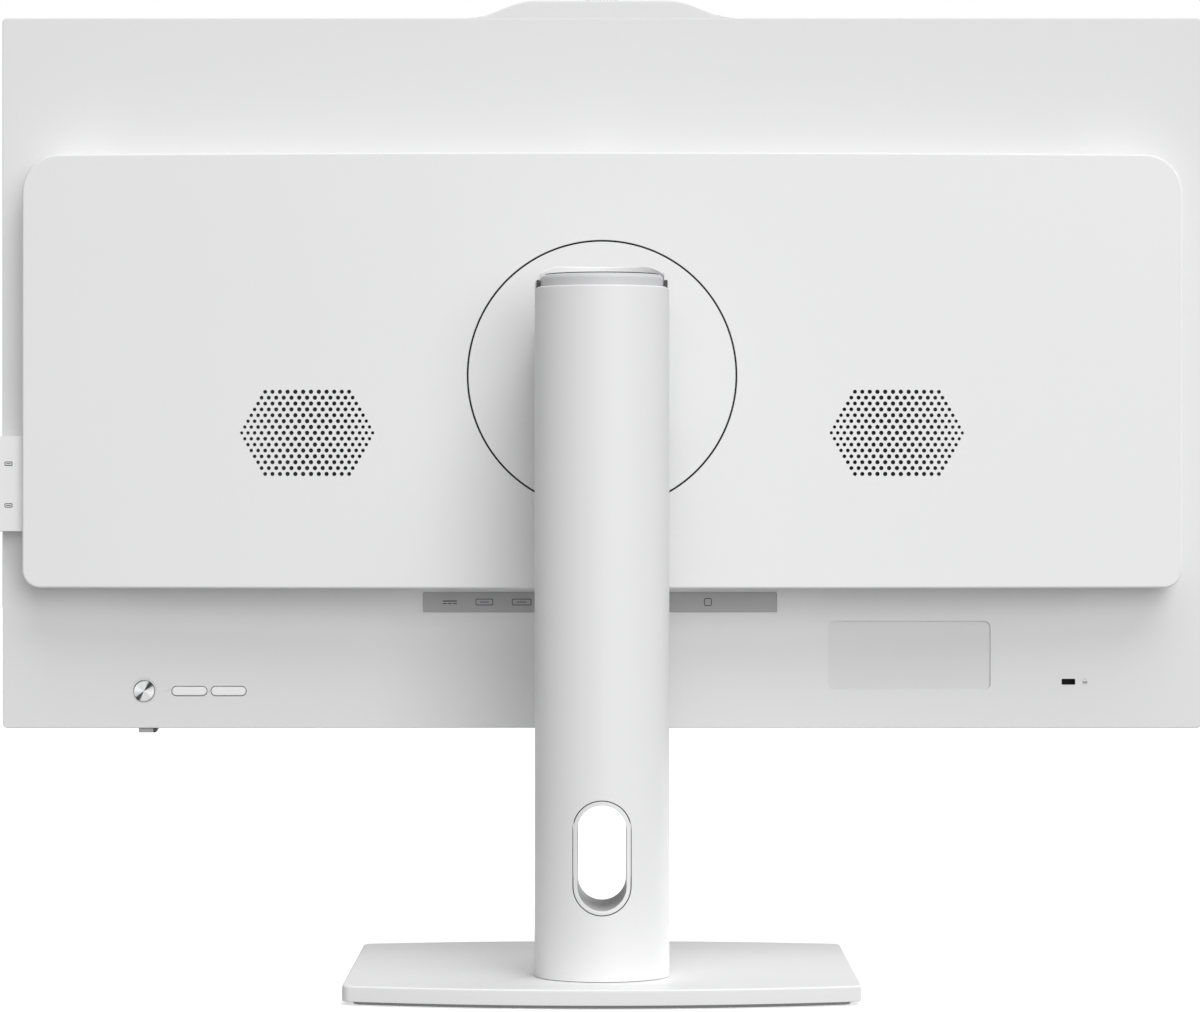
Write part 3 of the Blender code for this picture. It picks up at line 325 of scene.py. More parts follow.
base_cover = bowed_slab("base_cover", 0.0, base_low.z, base_high.z)
round_edges(base_cover, top_rim, base_top_round, 4)
sink(base_cover, faces_down, base_wall, (0.0, 0.0, base_high.z - base_low.z - base_wall))
round_edges(base_cover, lambda e: bottom_rim(e) and e.verts[0].co.z < base_low.z + 1e-5, base_foot_round, 2)
finish_piece(base_cover, "stand", white_abs, "white_plastic", "base_shell")


# ---------------------------------------------------------------- base pad
# The foot's anti-slip underlay: one sheet of moulded rubber glued under the weight, with a row of
# shallow tread ribs and a round hole over the screw that holds the column.
def rod(name, start, end, radius, sides=32):
    """A round bar from start to end."""
    bpy.ops.object.select_all(action="DESELECT")
    start, end = Vector(start), Vector(end)
    turn = (end - start).to_track_quat("Z", "Y").to_euler()
    bpy.ops.mesh.primitive_cylinder_add(vertices=sides, radius=radius, depth=(end - start).length,
                                        location=(start + end) / 2, rotation=turn)
    return named(name)


def carve(obj, *tools, how="DIFFERENCE"):
    """Cuts the tools out of obj, or trims or joins it, and throws the tools away."""
    for tool in tools:
        only(obj)
        bpy.ops.object.modifier_add(type="BOOLEAN")
        step = obj.modifiers[-1]
        step.operation = how
        step.solver = "EXACT"
        step.object = tool
        bpy.ops.object.modifier_apply(modifier=step.name)
        bpy.data.objects.remove(tool, do_unlink=True)
    return obj


def join(name, pieces):
    """One object of several."""
    only(pieces[0])
    for piece in pieces:
        piece.select_set(True)
    bpy.ops.object.join()
    pieces[0].name = pieces[0].data.name = name
    return pieces[0]


grey_rubber = moulded_plastic("grey_rubber", (0.36, 0.36, 0.365), 0.82,
                              grain=0.25, grain_scale=900.0, tint=0.06)

pad_low, pad_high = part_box("base_pad")
screw_low, screw_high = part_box("base_screw")
screw_middle = (screw_low + screw_high) / 2
pad = bowed_slab("base_pad_sheet", base_high.x - pad_high.x, pad_low.z, pad_high.z)
round_edges(pad, bottom_rim, 0.0005, 2)
tread_reach, tread_depth, tread_width, tread_pitch = 0.104, 0.0005, 0.0016, 0.0090
treads = []
for row in range(-9, 10):
    if row:
        y = row * tread_pitch
        treads.append(block("tread", (-tread_reach, y - tread_width / 2, -0.001),
                            (tread_reach, y + tread_width / 2, tread_depth)))
carve(pad, join("treads", treads))
head_radius, head_fit = (screw_high.x - screw_low.x) / 2, 0.0003
screw_way = rod("screw_way", (0.0, screw_middle.y, -0.01), (0.0, screw_middle.y, 0.01),
                head_radius + head_fit, 48)
carve(pad, screw_way)
finish_piece(pad, "stand", grey_rubber, "black_rubber", "base_pad")


# ---------------------------------------------------------------- base screw
# The M6 pan-head screw up through the foot into the column's steel spine, zinc plated, with a
# cross recess. It is driven from below before the foot stands on the desk.
def plain_metal(name, colour, roughness, drift=0.08, scratch=0.05, streak=(1.0, 1.0, 1.0)):
    """Bare or plated metal: faint cloudy changes of gloss, and fine marks drawn out along one way."""
    paint, where = blank_paint(name)
    shader_of(paint).inputs["Metallic"].default_value = 1.0
    cloud = clouds(paint, where, 60.0, 4.0)
    vary_tone(paint, cloud, shaded(colour, 0.94), shaded(colour, 1.05))
    vary_gloss(paint, cloud, max(0.05, roughness - drift), roughness + drift)
    stretch = paint.node_tree.nodes.new("ShaderNodeMapping")
    stretch.inputs["Scale"].default_value = streak
    paint.node_tree.links.new(where, stretch.inputs["Vector"])
    marks = clouds(paint, stretch.outputs["Vector"], 700.0, 3.0)
    raise_relief(paint, marks, scratch, 0.0001)
    return paint


zinc_steel = plain_metal("zinc_steel", (0.62, 0.63, 0.65), 0.34)

head_top, shank_radius = pad_high.z, 0.0030
recess_long, recess_wide, recess_deep = 0.0042, 0.0011, 0.0010
screw = rod("base_screw_turned", (0.0, screw_middle.y, screw_low.z), (0.0, screw_middle.y, head_top),
            head_radius, 48)
round_edges(screw, bottom_rim, 0.0007, 3)
carve(screw, rod("shank", (0.0, screw_middle.y, head_top - 0.0003), (0.0, screw_middle.y, screw_high.z),
                 shank_radius, 32), how="UNION")
for x, y in ((recess_long, recess_wide), (recess_wide, recess_long)):
    carve(screw, block("recess", (-x, screw_middle.y - y, screw_low.z - 0.001),
                       (x, screw_middle.y + y, screw_low.z + recess_deep)))
finish_piece(screw, "stand", zinc_steel, "steel", "base_screw")


# ---------------------------------------------------------------- column front shell and rear cover
# Two oval half shells in white ABS that clip together on a hairline seam at the widest point and
# hide the steel spine. The front one stands taller and has the slot that the arm travels in.
front_low, front_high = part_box("column_front_shell")
rear_low, rear_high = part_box("column_rear_cover")
column_half = Vector((front_high.x, rear_high.y - (front_high.y + rear_low.y) / 2))
column_mid_y = (front_high.y + rear_low.y) / 2
column_wall = 0.0025


def oval_shell(name, side, bottom, top):
    """Half of the column's oval tube, on the +Y or -Y side of the seam."""
    bpy.ops.object.select_all(action="DESELECT")
    bpy.ops.mesh.primitive_circle_add(vertices=128, radius=1.0, location=(0.0, column_mid_y, bottom))
    bpy.context.active_object.scale = (column_half.x, column_half.y, 1.0)
    shell = named(name)
    seam_y = rear_low.y if side > 0 else front_high.y
    select(shell, "EDGE", everything)
    bpy.ops.mesh.bisect(plane_co=(0.0, seam_y, 0.0), plane_no=(0.0, side, 0.0), clear_inner=True)
    select(shell, "EDGE", everything)
    bpy.ops.mesh.extrude_region_move(TRANSFORM_OT_translate={"value": (0.0, 0.0, top - bottom)})
    select(shell, "FACE", everything)
    bpy.ops.mesh.normals_make_consistent(inside=False)
    done()
    only(shell)
    side_wall = shell.data.polygons[0]
    outward = side_wall.normal.dot(side_wall.center - Vector((0, column_mid_y, 0)))
    bpy.ops.object.modifier_add(type="SOLIDIFY")
    shell.modifiers[-1].thickness = column_wall
    shell.modifiers[-1].offset = -1.0 if outward > 0 else 1.0
    shell.modifiers[-1].use_even_offset = True
    bpy.ops.object.modifier_apply(modifier=shell.modifiers[-1].name)
    select(shell, "FACE", everything)
    bpy.ops.mesh.normals_make_consistent(inside=False)
    done()
    return shell


# A bevel stops this far short of half a bar's width, so that its two sides never meet.
full_round = 0.00002


def obround(name, middle, width, height, front_y, rear_y):
    """An upright slot-shaped bar along Y."""
    bar = block(name, (middle[0] - width / 2, front_y, middle[1] - height / 2),
                (middle[0] + width / 2, rear_y, middle[1] + height / 2))
    round_edges(bar, along_y, min(width, height) / 2 - full_round, 12)
    return bar


liner_low, liner_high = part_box("cable_hole_liner")
hole_middle = ((liner_low.x + liner_high.x) / 2, (liner_low.z + liner_high.z) / 2)
liner_wall = 0.0020
hole_fit = 0.00045
hole_width = liner_high.x - liner_low.x + 2 * hole_fit
hole_height = liner_high.z - liner_low.z + 2 * hole_fit

front_shell = oval_shell("column_front_moulding", -1, front_low.z, front_high.z)
crown_margin, crown_round = 0.0008, 0.0140
crown = block("crown", (-column_half.x - crown_margin, 0.0, 0.0),
              (column_half.x + crown_margin, 0.1, front_high.z))
round_edges(crown, lambda e: along_y(e) and e.verts[0].co.z > 0.1, crown_round, 16)
carve(front_shell, crown, how="INTERSECT")


def on_crown(face):
    return face.normal.z > 0.25


def in_oval_wall(face):
    return abs(face.normal.z) < 0.05 and face.calc_center_median().y < front_high.y - 0.0002


round_edges(front_shell, lambda e: parts_faces(e, on_crown, in_oval_wall), 0.0008, 3)
arm_low, arm_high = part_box("head_arm")
slot_half = 0.0136
slot_low, slot_high = 0.1849, 0.3381
carve(front_shell,
      obround("cable_way", hole_middle, hole_width, hole_height, front_low.y - 0.01, front_high.y + 0.01),
      block("arm_slot", (-slot_half, front_low.y - 0.01, slot_low),
            (slot_half, column_mid_y - 0.010, slot_high)))
finish_piece(front_shell, "stand", white_abs, "white_plastic", "column_front_shell")

rear_shell_cover = oval_shell("column_rear_moulding", 1, rear_low.z, rear_high.z)
round_edges(rear_shell_cover, top_rim, 0.0007, 4)
shoulder_margin, shoulder_round = 0.001, 0.0042
shoulders = block("shoulders", (-column_half.x - shoulder_margin, 0.0, 0.0),
                  (column_half.x + shoulder_margin, 0.1, rear_high.z))
round_edges(shoulders, lambda e: along_y(e) and e.verts[0].co.z > 0.1, shoulder_round, 8)
carve(rear_shell_cover, shoulders, how="INTERSECT")
carve(rear_shell_cover,
      obround("cable_way", hole_middle, hole_width, hole_height, rear_low.y - 0.01, rear_high.y + 0.01))
finish_piece(rear_shell_cover, "stand", white_abs, "white_plastic", "column_rear_cover")


# ---------------------------------------------------------------- column cap
# The light grey plug that closes the top of the column, pressed in between the two half shells,
# with a rounded upper edge. A black tab at each side is painted shade in the slots at the shoulders,
# and a thin black ring on top is a painted shadow under the front shell's rim.
cap_low, cap_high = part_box("column_cap")


def oval_slab(name, inset, bottom, top):
    """A solid slab of the column's oval section, drawn in by inset."""
    bpy.ops.object.select_all(action="DESELECT")
    bpy.ops.mesh.primitive_cylinder_add(vertices=128, radius=1.0, depth=top - bottom,
                                        location=(0.0, column_mid_y, (bottom + top) / 2))
    bpy.context.active_object.scale = (column_half.x - inset, column_half.y - inset, 1.0)
    return named(name)


cap_grey = moulded_plastic("cap_grey", (0.58, 0.58, 0.59), 0.5)
cap = oval_slab("column_cap_plug", column_half.x - cap_high.x, cap_low.z, cap_high.z)
round_edges(cap, top_rim, 0.0026, 7)
finish_piece(cap, "stand", cap_grey, "grey_plastic", "column_cap")

# Black as painted shade: the tabs stand for the shade in the slots at the shoulders, and the ring on top
# for the shadow under the front shell's rim.
shade_black = moulded_plastic("shade_black", (0.045, 0.045, 0.047), 0.6)
tab_wide, tab_deep, tab_drop, tab_rise = 0.0017, 0.0020, 0.0055, 0.0036
for side, hand in ((1, "left"), (-1, "right")):
    inner = side * (cap_high.x + 0.0002)
    outer = inner + side * tab_wide
    shade_tab = block(f"cap_shade_tab_{hand}", (min(inner, outer), rear_low.y + 0.0001, cap_low.z - tab_drop),
                 (max(inner, outer), rear_low.y + tab_deep, cap_low.z + tab_rise))
    under = rear_shell_cover.copy()
    under.data = rear_shell_cover.data.copy()
    bpy.context.scene.collection.objects.link(under)
    carve(shade_tab, under)
    round_edges(shade_tab, lambda e: along_y(e) and e.verts[0].co.z > cap_low.z + 0.0030, 0.0005, 3)
    finish_piece(shade_tab, "stand", shade_black, "dark_plastic")

# A thin black ring on the cap's top, a painted shadow under the front shell's rim.
shadow_ring_inset, shadow_ring_wide, shadow_ring_thick = column_half.x - cap_high.x + 0.0024, 0.0016, 0.0004
cap_shadow_ring = oval_slab("cap_shadow_ring", shadow_ring_inset, cap_high.z, cap_high.z + shadow_ring_thick)
carve(cap_shadow_ring, oval_slab("shadow_ring_bore", shadow_ring_inset + shadow_ring_wide, cap_high.z - 0.01, cap_high.z + 0.01))
finish_piece(cap_shadow_ring, "stand", shade_black, "black_rubber")


# ---------------------------------------------------------------- cable hole liner
# A white ABS sleeve through the column that cables are led through. Its two mouths follow the
# oval skin and are rounded over, and it snaps in from behind with a hairline all round.
liner = obround("cable_sleeve", hole_middle, liner_high.x - liner_low.x, liner_high.z - liner_low.z,
                front_low.y - 0.002, rear_high.y + 0.002)
skin_step = 0.0003
carve(liner, oval_slab("sleeve_trim", skin_step, 0.0, 0.2), how="INTERSECT")
bore = obround("sleeve_bore", hole_middle, liner_high.x - liner_low.x - 2 * liner_wall,
               liner_high.z - liner_low.z - 2 * liner_wall, front_low.y - 0.01, rear_high.y + 0.01)
carve(liner, bore)


def in_skin(face):
    return abs(face.normal.y) > 0.5


def in_bore(face):
    return abs(face.normal.y) < 0.3


round_edges(liner, lambda e: parts_faces(e, in_skin, in_bore), 0.0003, 2)
finish_piece(liner, "stand", white_abs, "white_plastic", "cable_hole_liner")
# The bore's walls, away from the mouths, are painted a darker grey as painted shade inside the sleeve.
liner.data.materials.append(moulded_plastic("sleeve_inside_painted_shade", (0.50, 0.50, 0.505), 0.55))
mouth_lip = 0.0030
for face in liner.data.polygons:
    if in_bore(face) and front_low.y + mouth_lip < face.center.y < rear_high.y - mouth_lip:
        face.material_index = 1


# ---------------------------------------------------------------- carriage, arm and hinge
# The die-cast parts that carry the display up and down inside the column and let it tilt. They
# keep their machined shapes, with cast, plated and pressed finishes of their own.
cast_aluminium = plain_metal("cast_aluminium", (0.72, 0.72, 0.73), 0.45, scratch=0.12)
pressed_steel = plain_metal("pressed_steel", (0.55, 0.56, 0.58), 0.38, streak=(1.0, 1.0, 0.08))
spring_steel = plain_metal("spring_steel", (0.42, 0.43, 0.46), 0.26, streak=(1.0, 1.0, 0.03))


def repaint(paint, *nodes):
    """Gives carried-over frame nodes a real finish."""
    for node in nodes:
        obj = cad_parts[node]
        obj.data.materials.clear()
        obj.data.materials.append(paint)


repaint(cast_aluminium, "carriage_block", "head_arm")
repaint(pressed_steel, "column_spine", "tilt_bracket", "mount_bracket", "chassis_plate", "base_weight")
repaint(zinc_steel, "hinge_pin", "guide_rail_left", "guide_rail_right")
repaint(spring_steel, "spring_tape", "spring_drum")


# ---------------------------------------------------------------- tilt screws
# Four pan-head machine screws that hold the hinge plate to the bracket inside the display. They
# are black-zinc plated and have a cross recess.
def rear_edge(y):
    """A test for the edges that lie wholly in a rear face at that Y."""
    return lambda edge: all(v.co.y > y - 1e-6 for v in edge.verts)


black_zinc = plain_metal("black_zinc", (0.16, 0.16, 0.17), 0.36)
head_thick, shank_radius = 0.0020, 0.0020
recess_long, recess_wide, recess_deep = 0.0021, 0.0005, 0.0009
for number in range(1, 5):
    low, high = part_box(f"tilt_screw_{number}")
    middle = (low + high) / 2
    head_y = high.y - head_thick
    tilt_screw = rod(f"tilt_screw_turned_{number}", (middle.x, head_y, middle.z),
                     (middle.x, high.y, middle.z), (high.x - low.x) / 2, 32)
    round_edges(tilt_screw, rear_edge(high.y), 0.0007, 3)
    carve(tilt_screw, rod("shank", (middle.x, low.y, middle.z), (middle.x, head_y + 0.0002, middle.z),
                          shank_radius, 24), how="UNION")
    for x, z in ((recess_long, recess_wide), (recess_wide, recess_long)):
        carve(tilt_screw, block("recess", (middle.x - x, high.y - recess_deep, middle.z - z),
                                (middle.x + x, high.y + 0.001, middle.z + z)))
    finish_piece(tilt_screw, "display", black_zinc, "steel", f"tilt_screw_{number}")


# ---------------------------------------------------------------- head cover
# The small white ABS cap over the hinge, which slides with the arm in front of the column. It is
# open towards the display and has a window at the back for the arm.
cover_low, cover_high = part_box("head_cover")
cover_wall, cover_corner = 0.0020, 0.0080


def faces_front(face):
    return face.normal.y < -0.9


head_cover = block("hinge_cap", cover_low, cover_high)
round_edges(head_cover, along_y, cover_corner, 10)
round_edges(head_cover, rear_edge(cover_high.y), 0.0012, 4)
sink(head_cover, faces_front, cover_wall, (0.0, cover_high.y - cover_low.y - cover_wall, 0.0))
arm_half, arm_fit = 0.0130, 0.0003
carve(head_cover, block("arm_window", (-arm_half - arm_fit, cover_low.y, arm_low.z - arm_fit),
                        (arm_half + arm_fit, cover_high.y + 0.01, arm_high.z + arm_fit)))
finish_piece(head_cover, "carriage", white_abs, "white_plastic", "head_cover")


# ---------------------------------------------------------------- rear shell of the display
# The flat white back of the panel: one ABS tray with a fine spark-eroded grain, rounded along
# its rim, with shallow pockets for a label and the port strip and holes for the buttons.
shell_low, shell_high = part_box("rear_shell")
back_y = shell_high.y
shell_wall, rim_round, panel_corner = 0.0022, 0.0006, 0.0024
at_back = rear_edge(back_y)

shell_white = moulded_plastic("shell_white", (0.735, 0.735, 0.737), 0.50)
panel_shell = block("rear_shell_moulding", shell_low, shell_high)
round_edges(panel_shell, along_y, panel_corner, 6)
round_edges(panel_shell, at_back, rim_round, 4)
sink(panel_shell, faces_front, shell_wall, (0.0, shell_high.y - shell_low.y - shell_wall, 0.0))

pod_low, pod_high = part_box("rear_cover")
window_margin = 0.0054
carve(panel_shell, block("shell_window",
                         (pod_low.x + window_margin, shell_low.y + 0.002, pod_low.z + window_margin),
                         (pod_high.x - window_margin, back_y + 0.01, pod_high.z - window_margin)))

label_low, label_high = Vector((-0.1982, 0.0, 0.1421)), Vector((-0.1153, 0.0, 0.1774))
label_depth, label_corner = 0.0012, 0.0034
label_pocket = block("label_pocket", (label_low.x, back_y - label_depth, label_low.z),
                     (label_high.x, back_y + 0.01, label_high.z))
round_edges(label_pocket, along_y, label_corner, 6)
strip_low, strip_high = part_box("port_label_strip")
strip_fit = 0.0003
strip_pocket = block("strip_pocket",
                     (strip_low.x - strip_fit, strip_low.y - strip_fit, strip_low.z - strip_fit),
                     (strip_high.x + strip_fit, back_y + 0.01, strip_high.z + strip_fit))
lock_low, lock_high = Vector((-0.2414, 0.0, 0.1448)), Vector((-0.2345, 0.0, 0.1478))
lock_way = block("lock_way", (lock_low.x, shell_low.y + 0.001, lock_low.z),
                 (lock_high.x, back_y + 0.01, lock_high.z))
round_edges(lock_way, along_y, 0.0004, 3)
power_low, power_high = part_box("power_button")
power_middle = (power_low + power_high) / 2
power_radius = (power_high.x - power_low.x) / 2
power_fit, dish_wide, dish_deep = 0.0002, 0.0011, 0.00035
power_way = rod("power_way", (power_middle.x, shell_low.y + 0.001, power_middle.z),
                (power_middle.x, back_y + 0.01, power_middle.z), power_radius + power_fit, 64)
power_dish = rod("power_dish", (power_middle.x, back_y - dish_deep, power_middle.z),
                 (power_middle.x, back_y + 0.01, power_middle.z), power_radius + dish_wide, 64)
carve(panel_shell, label_pocket, strip_pocket, lock_way, power_way, power_dish)
key_fit = 0.00015
for number in (1, 2):
    key_low, key_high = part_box(f"menu_button_{number}")
    key_way = block("key_way", (key_low.x - key_fit, shell_low.y + 0.001, key_low.z - key_fit),
                    (key_high.x + key_fit, back_y + 0.01, key_high.z + key_fit))
    round_edges(key_way, along_y, (key_high.z - key_low.z) / 2 + key_fit - 0.00005, 10)
    carve(panel_shell, key_way)


def button_mouth(edge):
    """The rims of the button holes and of the lock slot in the flat back."""
    spot = (edge.verts[0].co + edge.verts[1].co) / 2
    near_keys = 0.175 < spot.x < 0.245 and 0.13 < spot.z < 0.155
    near_lock = abs(spot.x - lock_low.x) < 0.01 and abs(spot.z - lock_low.z) < 0.006
    return at_back(edge) and (near_keys or near_lock)


round_edges(panel_shell, button_mouth, 0.00025, 2)
finish_piece(panel_shell, "display", shell_white, "white_plastic", "rear_shell")
panel_shell.data.materials.append(moulded_plastic("pocket_matt", (0.70, 0.70, 0.703), 0.62, grain=0.2))
for face in panel_shell.data.polygons:
    spot = face.center
    in_pocket = label_low.x < spot.x < label_high.x and label_low.z < spot.z < label_high.z
    if in_pocket and abs(spot.y - (back_y - label_depth)) < 1e-5:
        face.material_index = 1


# ---------------------------------------------------------------- rear cover
# The raised white housing over the electronics: an ABS moulding bowed very slightly across its
# width, with softened edges, a round opening for the mount disc and rows of vent slots.
rear_bulge = 0.0130
bulge_radius = ((pod_high.x) ** 2 + rear_bulge ** 2) / (2 * rear_bulge)
pod_wall = 0.0024
top_corner, bottom_corner = 0.0190, 0.0090
flat_width, flat_count = 0.0100, 27
pod_edge = 0.0011


def bulge_drum(inset=0.0):
    """The very large upright drum whose side gives the mount disc and its black painted-shade lip the
    cover's bow.
    """
    radius = bulge_radius - inset
    centre_y = pod_high.y - bulge_radius
    return rod("bulge_drum", (0.0, centre_y, 0.1), (0.0, centre_y, 0.5), radius, 4800)


def pod_block(name, inset):
    """The cover's rounded block, drawn in by inset and bowed behind in narrow flats."""
    half = pod_high.x - inset
    shape = block(name, (-half, pod_low.y, pod_low.z + inset), (half, pod_high.y, pod_high.z - inset))
    flats = [k * flat_width for k in range(-flat_count, flat_count + 1)]
    for x in flats:
        slice_at(shape, x)
    for x in [-half] + flats + [half]:
        bow = math.sqrt((bulge_radius - inset) ** 2 - x ** 2) - bulge_radius
        push(shape, lambda v: abs(v.co.x - x) < 1e-5 and v.co.y > pod_high.y - 0.001, (0.0, bow, 0.0))
    for height, corner, steps in ((pod_high.z - inset, top_corner, 16),
                                  (pod_low.z + inset, bottom_corner, 12)):
        round_edges(shape, lambda e: along_y(e) and abs(e.verts[0].co.z - height) < 1e-5 and
                    abs(abs(e.verts[0].co.x) - half) < 1e-5, corner - inset, steps)
    return shape


def bowed_back(face):
    return face.normal.y > 0.9


def not_back(face):
    return abs(face.normal.y) < 0.3


def back_rim(edge):
    return parts_faces(edge, bowed_back, not_back)


pod = pod_block("rear_cover_moulding", 0.0)
round_edges(pod, back_rim, pod_edge, 6)
pod_hollow = pod_block("pod_hollow", pod_wall)
push(pod_hollow, lambda v: v.co.y < pod_low.y + 1e-5, (0.0, -0.001, 0.0))
carve(pod, pod_hollow)

disc_low, disc_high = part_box("mount_disc")
disc_middle = (disc_low + disc_high) / 2
disc_radius = (disc_high.x - disc_low.x) / 2
disc_gap, disc_round = 0.0009, 0.00015
carve(pod, rod("disc_way", (0.0, disc_low.y - 0.02, disc_middle.z), (0.0, 0.0, disc_middle.z),
               disc_radius + disc_gap, 144))


def disc_rim(edge, radius):
    """True for an edge along a circle of that radius about the disc's middle, in the bowed face."""
    half_way = (edge.verts[0].co + edge.verts[1].co) / 2
    return all(abs(math.hypot(p.x, p.z - disc_middle.z) - radius) < 1e-4 and p.y > disc_high.y - 0.0015
               for p in (edge.verts[0].co, edge.verts[1].co, half_way))


round_edges(pod, lambda e: disc_rim(e, disc_radius + disc_gap), disc_round, 2)

io_low, io_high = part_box("io_plate")
io_fit = 0.0003
carve(pod, block("port_way", (io_low.x - io_fit, io_low.y - io_fit, pod_low.z - 0.01),
                 (io_high.x + io_fit, io_high.y + io_fit, pod_low.z + pod_wall + 0.001)))

slot_pitch, slot_wide = 0.0060, 0.0026
slot_rows = ((40, 0.0110, pod_high.z, -0.0450, 0.0150), (22, 0.1130, pod_low.z, -0.0500, 0.0110))
slot_tools = []
for count, first_x, z, y, deep in slot_rows:
    for place in range(count):
        for side in (1, -1):
            x = side * (first_x + slot_pitch * place)
            slot = block("vent_slot", (x - slot_wide / 2, y - deep / 2, z - 0.006),
                         (x + slot_wide / 2, y + deep / 2, z + 0.006))
            round_edges(slot, along_z, slot_wide / 2 - full_round, 3)
            slot_tools.append(slot)
carve(pod, join("vent_slots", slot_tools))


# ---------------------------------------------------------------- speaker grilles
# Two hexagons of small round holes drilled through the rear cover in staggered rows. The holes
# shrink and close up towards the two side points of each hexagon.
grille_x, grille_z = 0.1480, 0.2727
row_pitch, middle_row, row_steps = 0.002945, 19, 7
step_x, step_squeeze = 0.003948, 0.00000351
hole_big, hole_small = 0.00114, 0.00084
bit = rod("drill_bit", (0.0, -0.045, 0.0), (0.0, -0.015, 0.0), 1.0, 14)
drills = []
for side in (1, -1):
    for row in range(-row_steps, row_steps + 1):
        count = middle_row - abs(row)
        z = grille_z + row * row_pitch
        for place in range(count):
            steps = place - (count - 1) / 2
            x = side * grille_x + (step_x * steps - step_squeeze * steps ** 3)
            reach = abs(steps) / ((middle_row - 1) / 2)
            radius = hole_big + (hole_small - hole_big) * reach ** 2
            drill = bpy.data.objects.new("drill", bit.data.copy())
            bpy.context.scene.collection.objects.link(drill)
            for vertex in drill.data.vertices:
                vertex.co = (x + vertex.co.x * radius, vertex.co.y, z + vertex.co.z * radius)
            drills.append(drill)
bpy.data.objects.remove(bit)
carve(pod, join("drills", drills))
finish_piece(pod, "display", white_abs, "white_plastic", "rear_cover")


# ---------------------------------------------------------------- speaker cloth and housings
# Behind each grille lies a square of black acoustic cloth in a thin frame, glued to the speaker
# box. It keeps dust out and stops the box from showing through the holes.
def woven_cloth(name, colour, thread):
    """A dull open weave of that many threads to the metre."""
    paint, where = blank_paint(name)
    nodes, links = paint.node_tree.nodes, paint.node_tree.links
    shader_of(paint).inputs["Roughness"].default_value = 0.9
    weave = nodes.new("ShaderNodeMath")
    weave.operation = "MULTIPLY"
    for place, direction in enumerate(("X", "Z")):
        wave = nodes.new("ShaderNodeTexWave")
        wave.bands_direction = direction
        wave.inputs["Scale"].default_value = thread
        wave.inputs["Distortion"].default_value = 0.4
        links.new(where, wave.inputs["Vector"])
        links.new(wave.outputs["Fac"], weave.inputs[place])
    vary_tone(paint, weave.outputs["Value"], shaded(colour, 0.35), colour)
    raise_relief(paint, weave.outputs["Value"], 0.6, 0.0003)
    return paint


black_cloth = woven_cloth("black_cloth", (0.09, 0.09, 0.095), 260.0)
black_abs = moulded_plastic("black_abs", (0.028, 0.028, 0.03), 0.5, grain=0.12, tint=0.05)
cloth_half, cloth_thick, cloth_gap = Vector((0.0385, 0.0, 0.0242)), 0.0006, 0.0007
rim_wide, rim_thick, rim_fit = 0.0015, 0.0016, 0.0002
cloth_y = pod_high.y - (grille_x + cloth_half.x) ** 2 / (2 * bulge_radius) - pod_wall - cloth_gap


def cloth_block(name, x, margin, rear_y, front_y):
    """A block over the cloth at that X, standing out from it by margin all round."""
    wide, tall = cloth_half.x + margin, cloth_half.z + margin
    return block(name, (x - wide, front_y, grille_z - tall), (x + wide, rear_y, grille_z + tall))


for side, hand in ((1, "left"), (-1, "right")):
    x = side * grille_x
    cloth = cloth_block(f"speaker_cloth_{hand}", x, 0.0, cloth_y, cloth_y - cloth_thick)
    round_edges(cloth, along_y, 0.003, 4)
    finish_piece(cloth, "display", black_cloth, "dark_plastic")
    rim = cloth_block(f"speaker_cloth_frame_{hand}", x, rim_wide, cloth_y + 0.0002, cloth_y - rim_thick)
    round_edges(rim, along_y, 0.004, 4)
    carve(rim, cloth_block("rim_window", x, rim_fit, cloth_y + 0.01, cloth_y - 0.01))
    finish_piece(rim, "display", black_abs, "dark_plastic")
repaint(black_abs, "speaker_left", "speaker_right", "fan_housing", "fan_rotor")


# ---------------------------------------------------------------- mount disc
# The round white plate that the stand bolts to, flush with the bowed rear cover and set off from
# it by a narrow groove. It is an ABS disc with screw holes for the hinge bracket.
def disc_rod(name, low_y, high_y, radius, sides=144):
    """A round bar on the disc's axis."""
    return rod(name, (0.0, low_y, disc_middle.z), (0.0, high_y, disc_middle.z), radius, sides)


disc = disc_rod("mount_disc_moulding", disc_low.y, disc_high.y + 0.002, disc_radius)
carve(disc, bulge_drum(), how="INTERSECT")
round_edges(disc, lambda e: disc_rim(e, disc_radius), disc_round, 2)
screw_clearance = 0.0023
for number in range(1, 5):
    low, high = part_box(f"tilt_screw_{number}")
    middle = (low + high) / 2
    carve(disc, rod("screw_way", (middle.x, disc_low.y - 0.01, middle.z), (middle.x, 0.0, middle.z),
                    screw_clearance, 24))
finish_piece(disc, "display", white_abs, "white_plastic", "mount_disc")


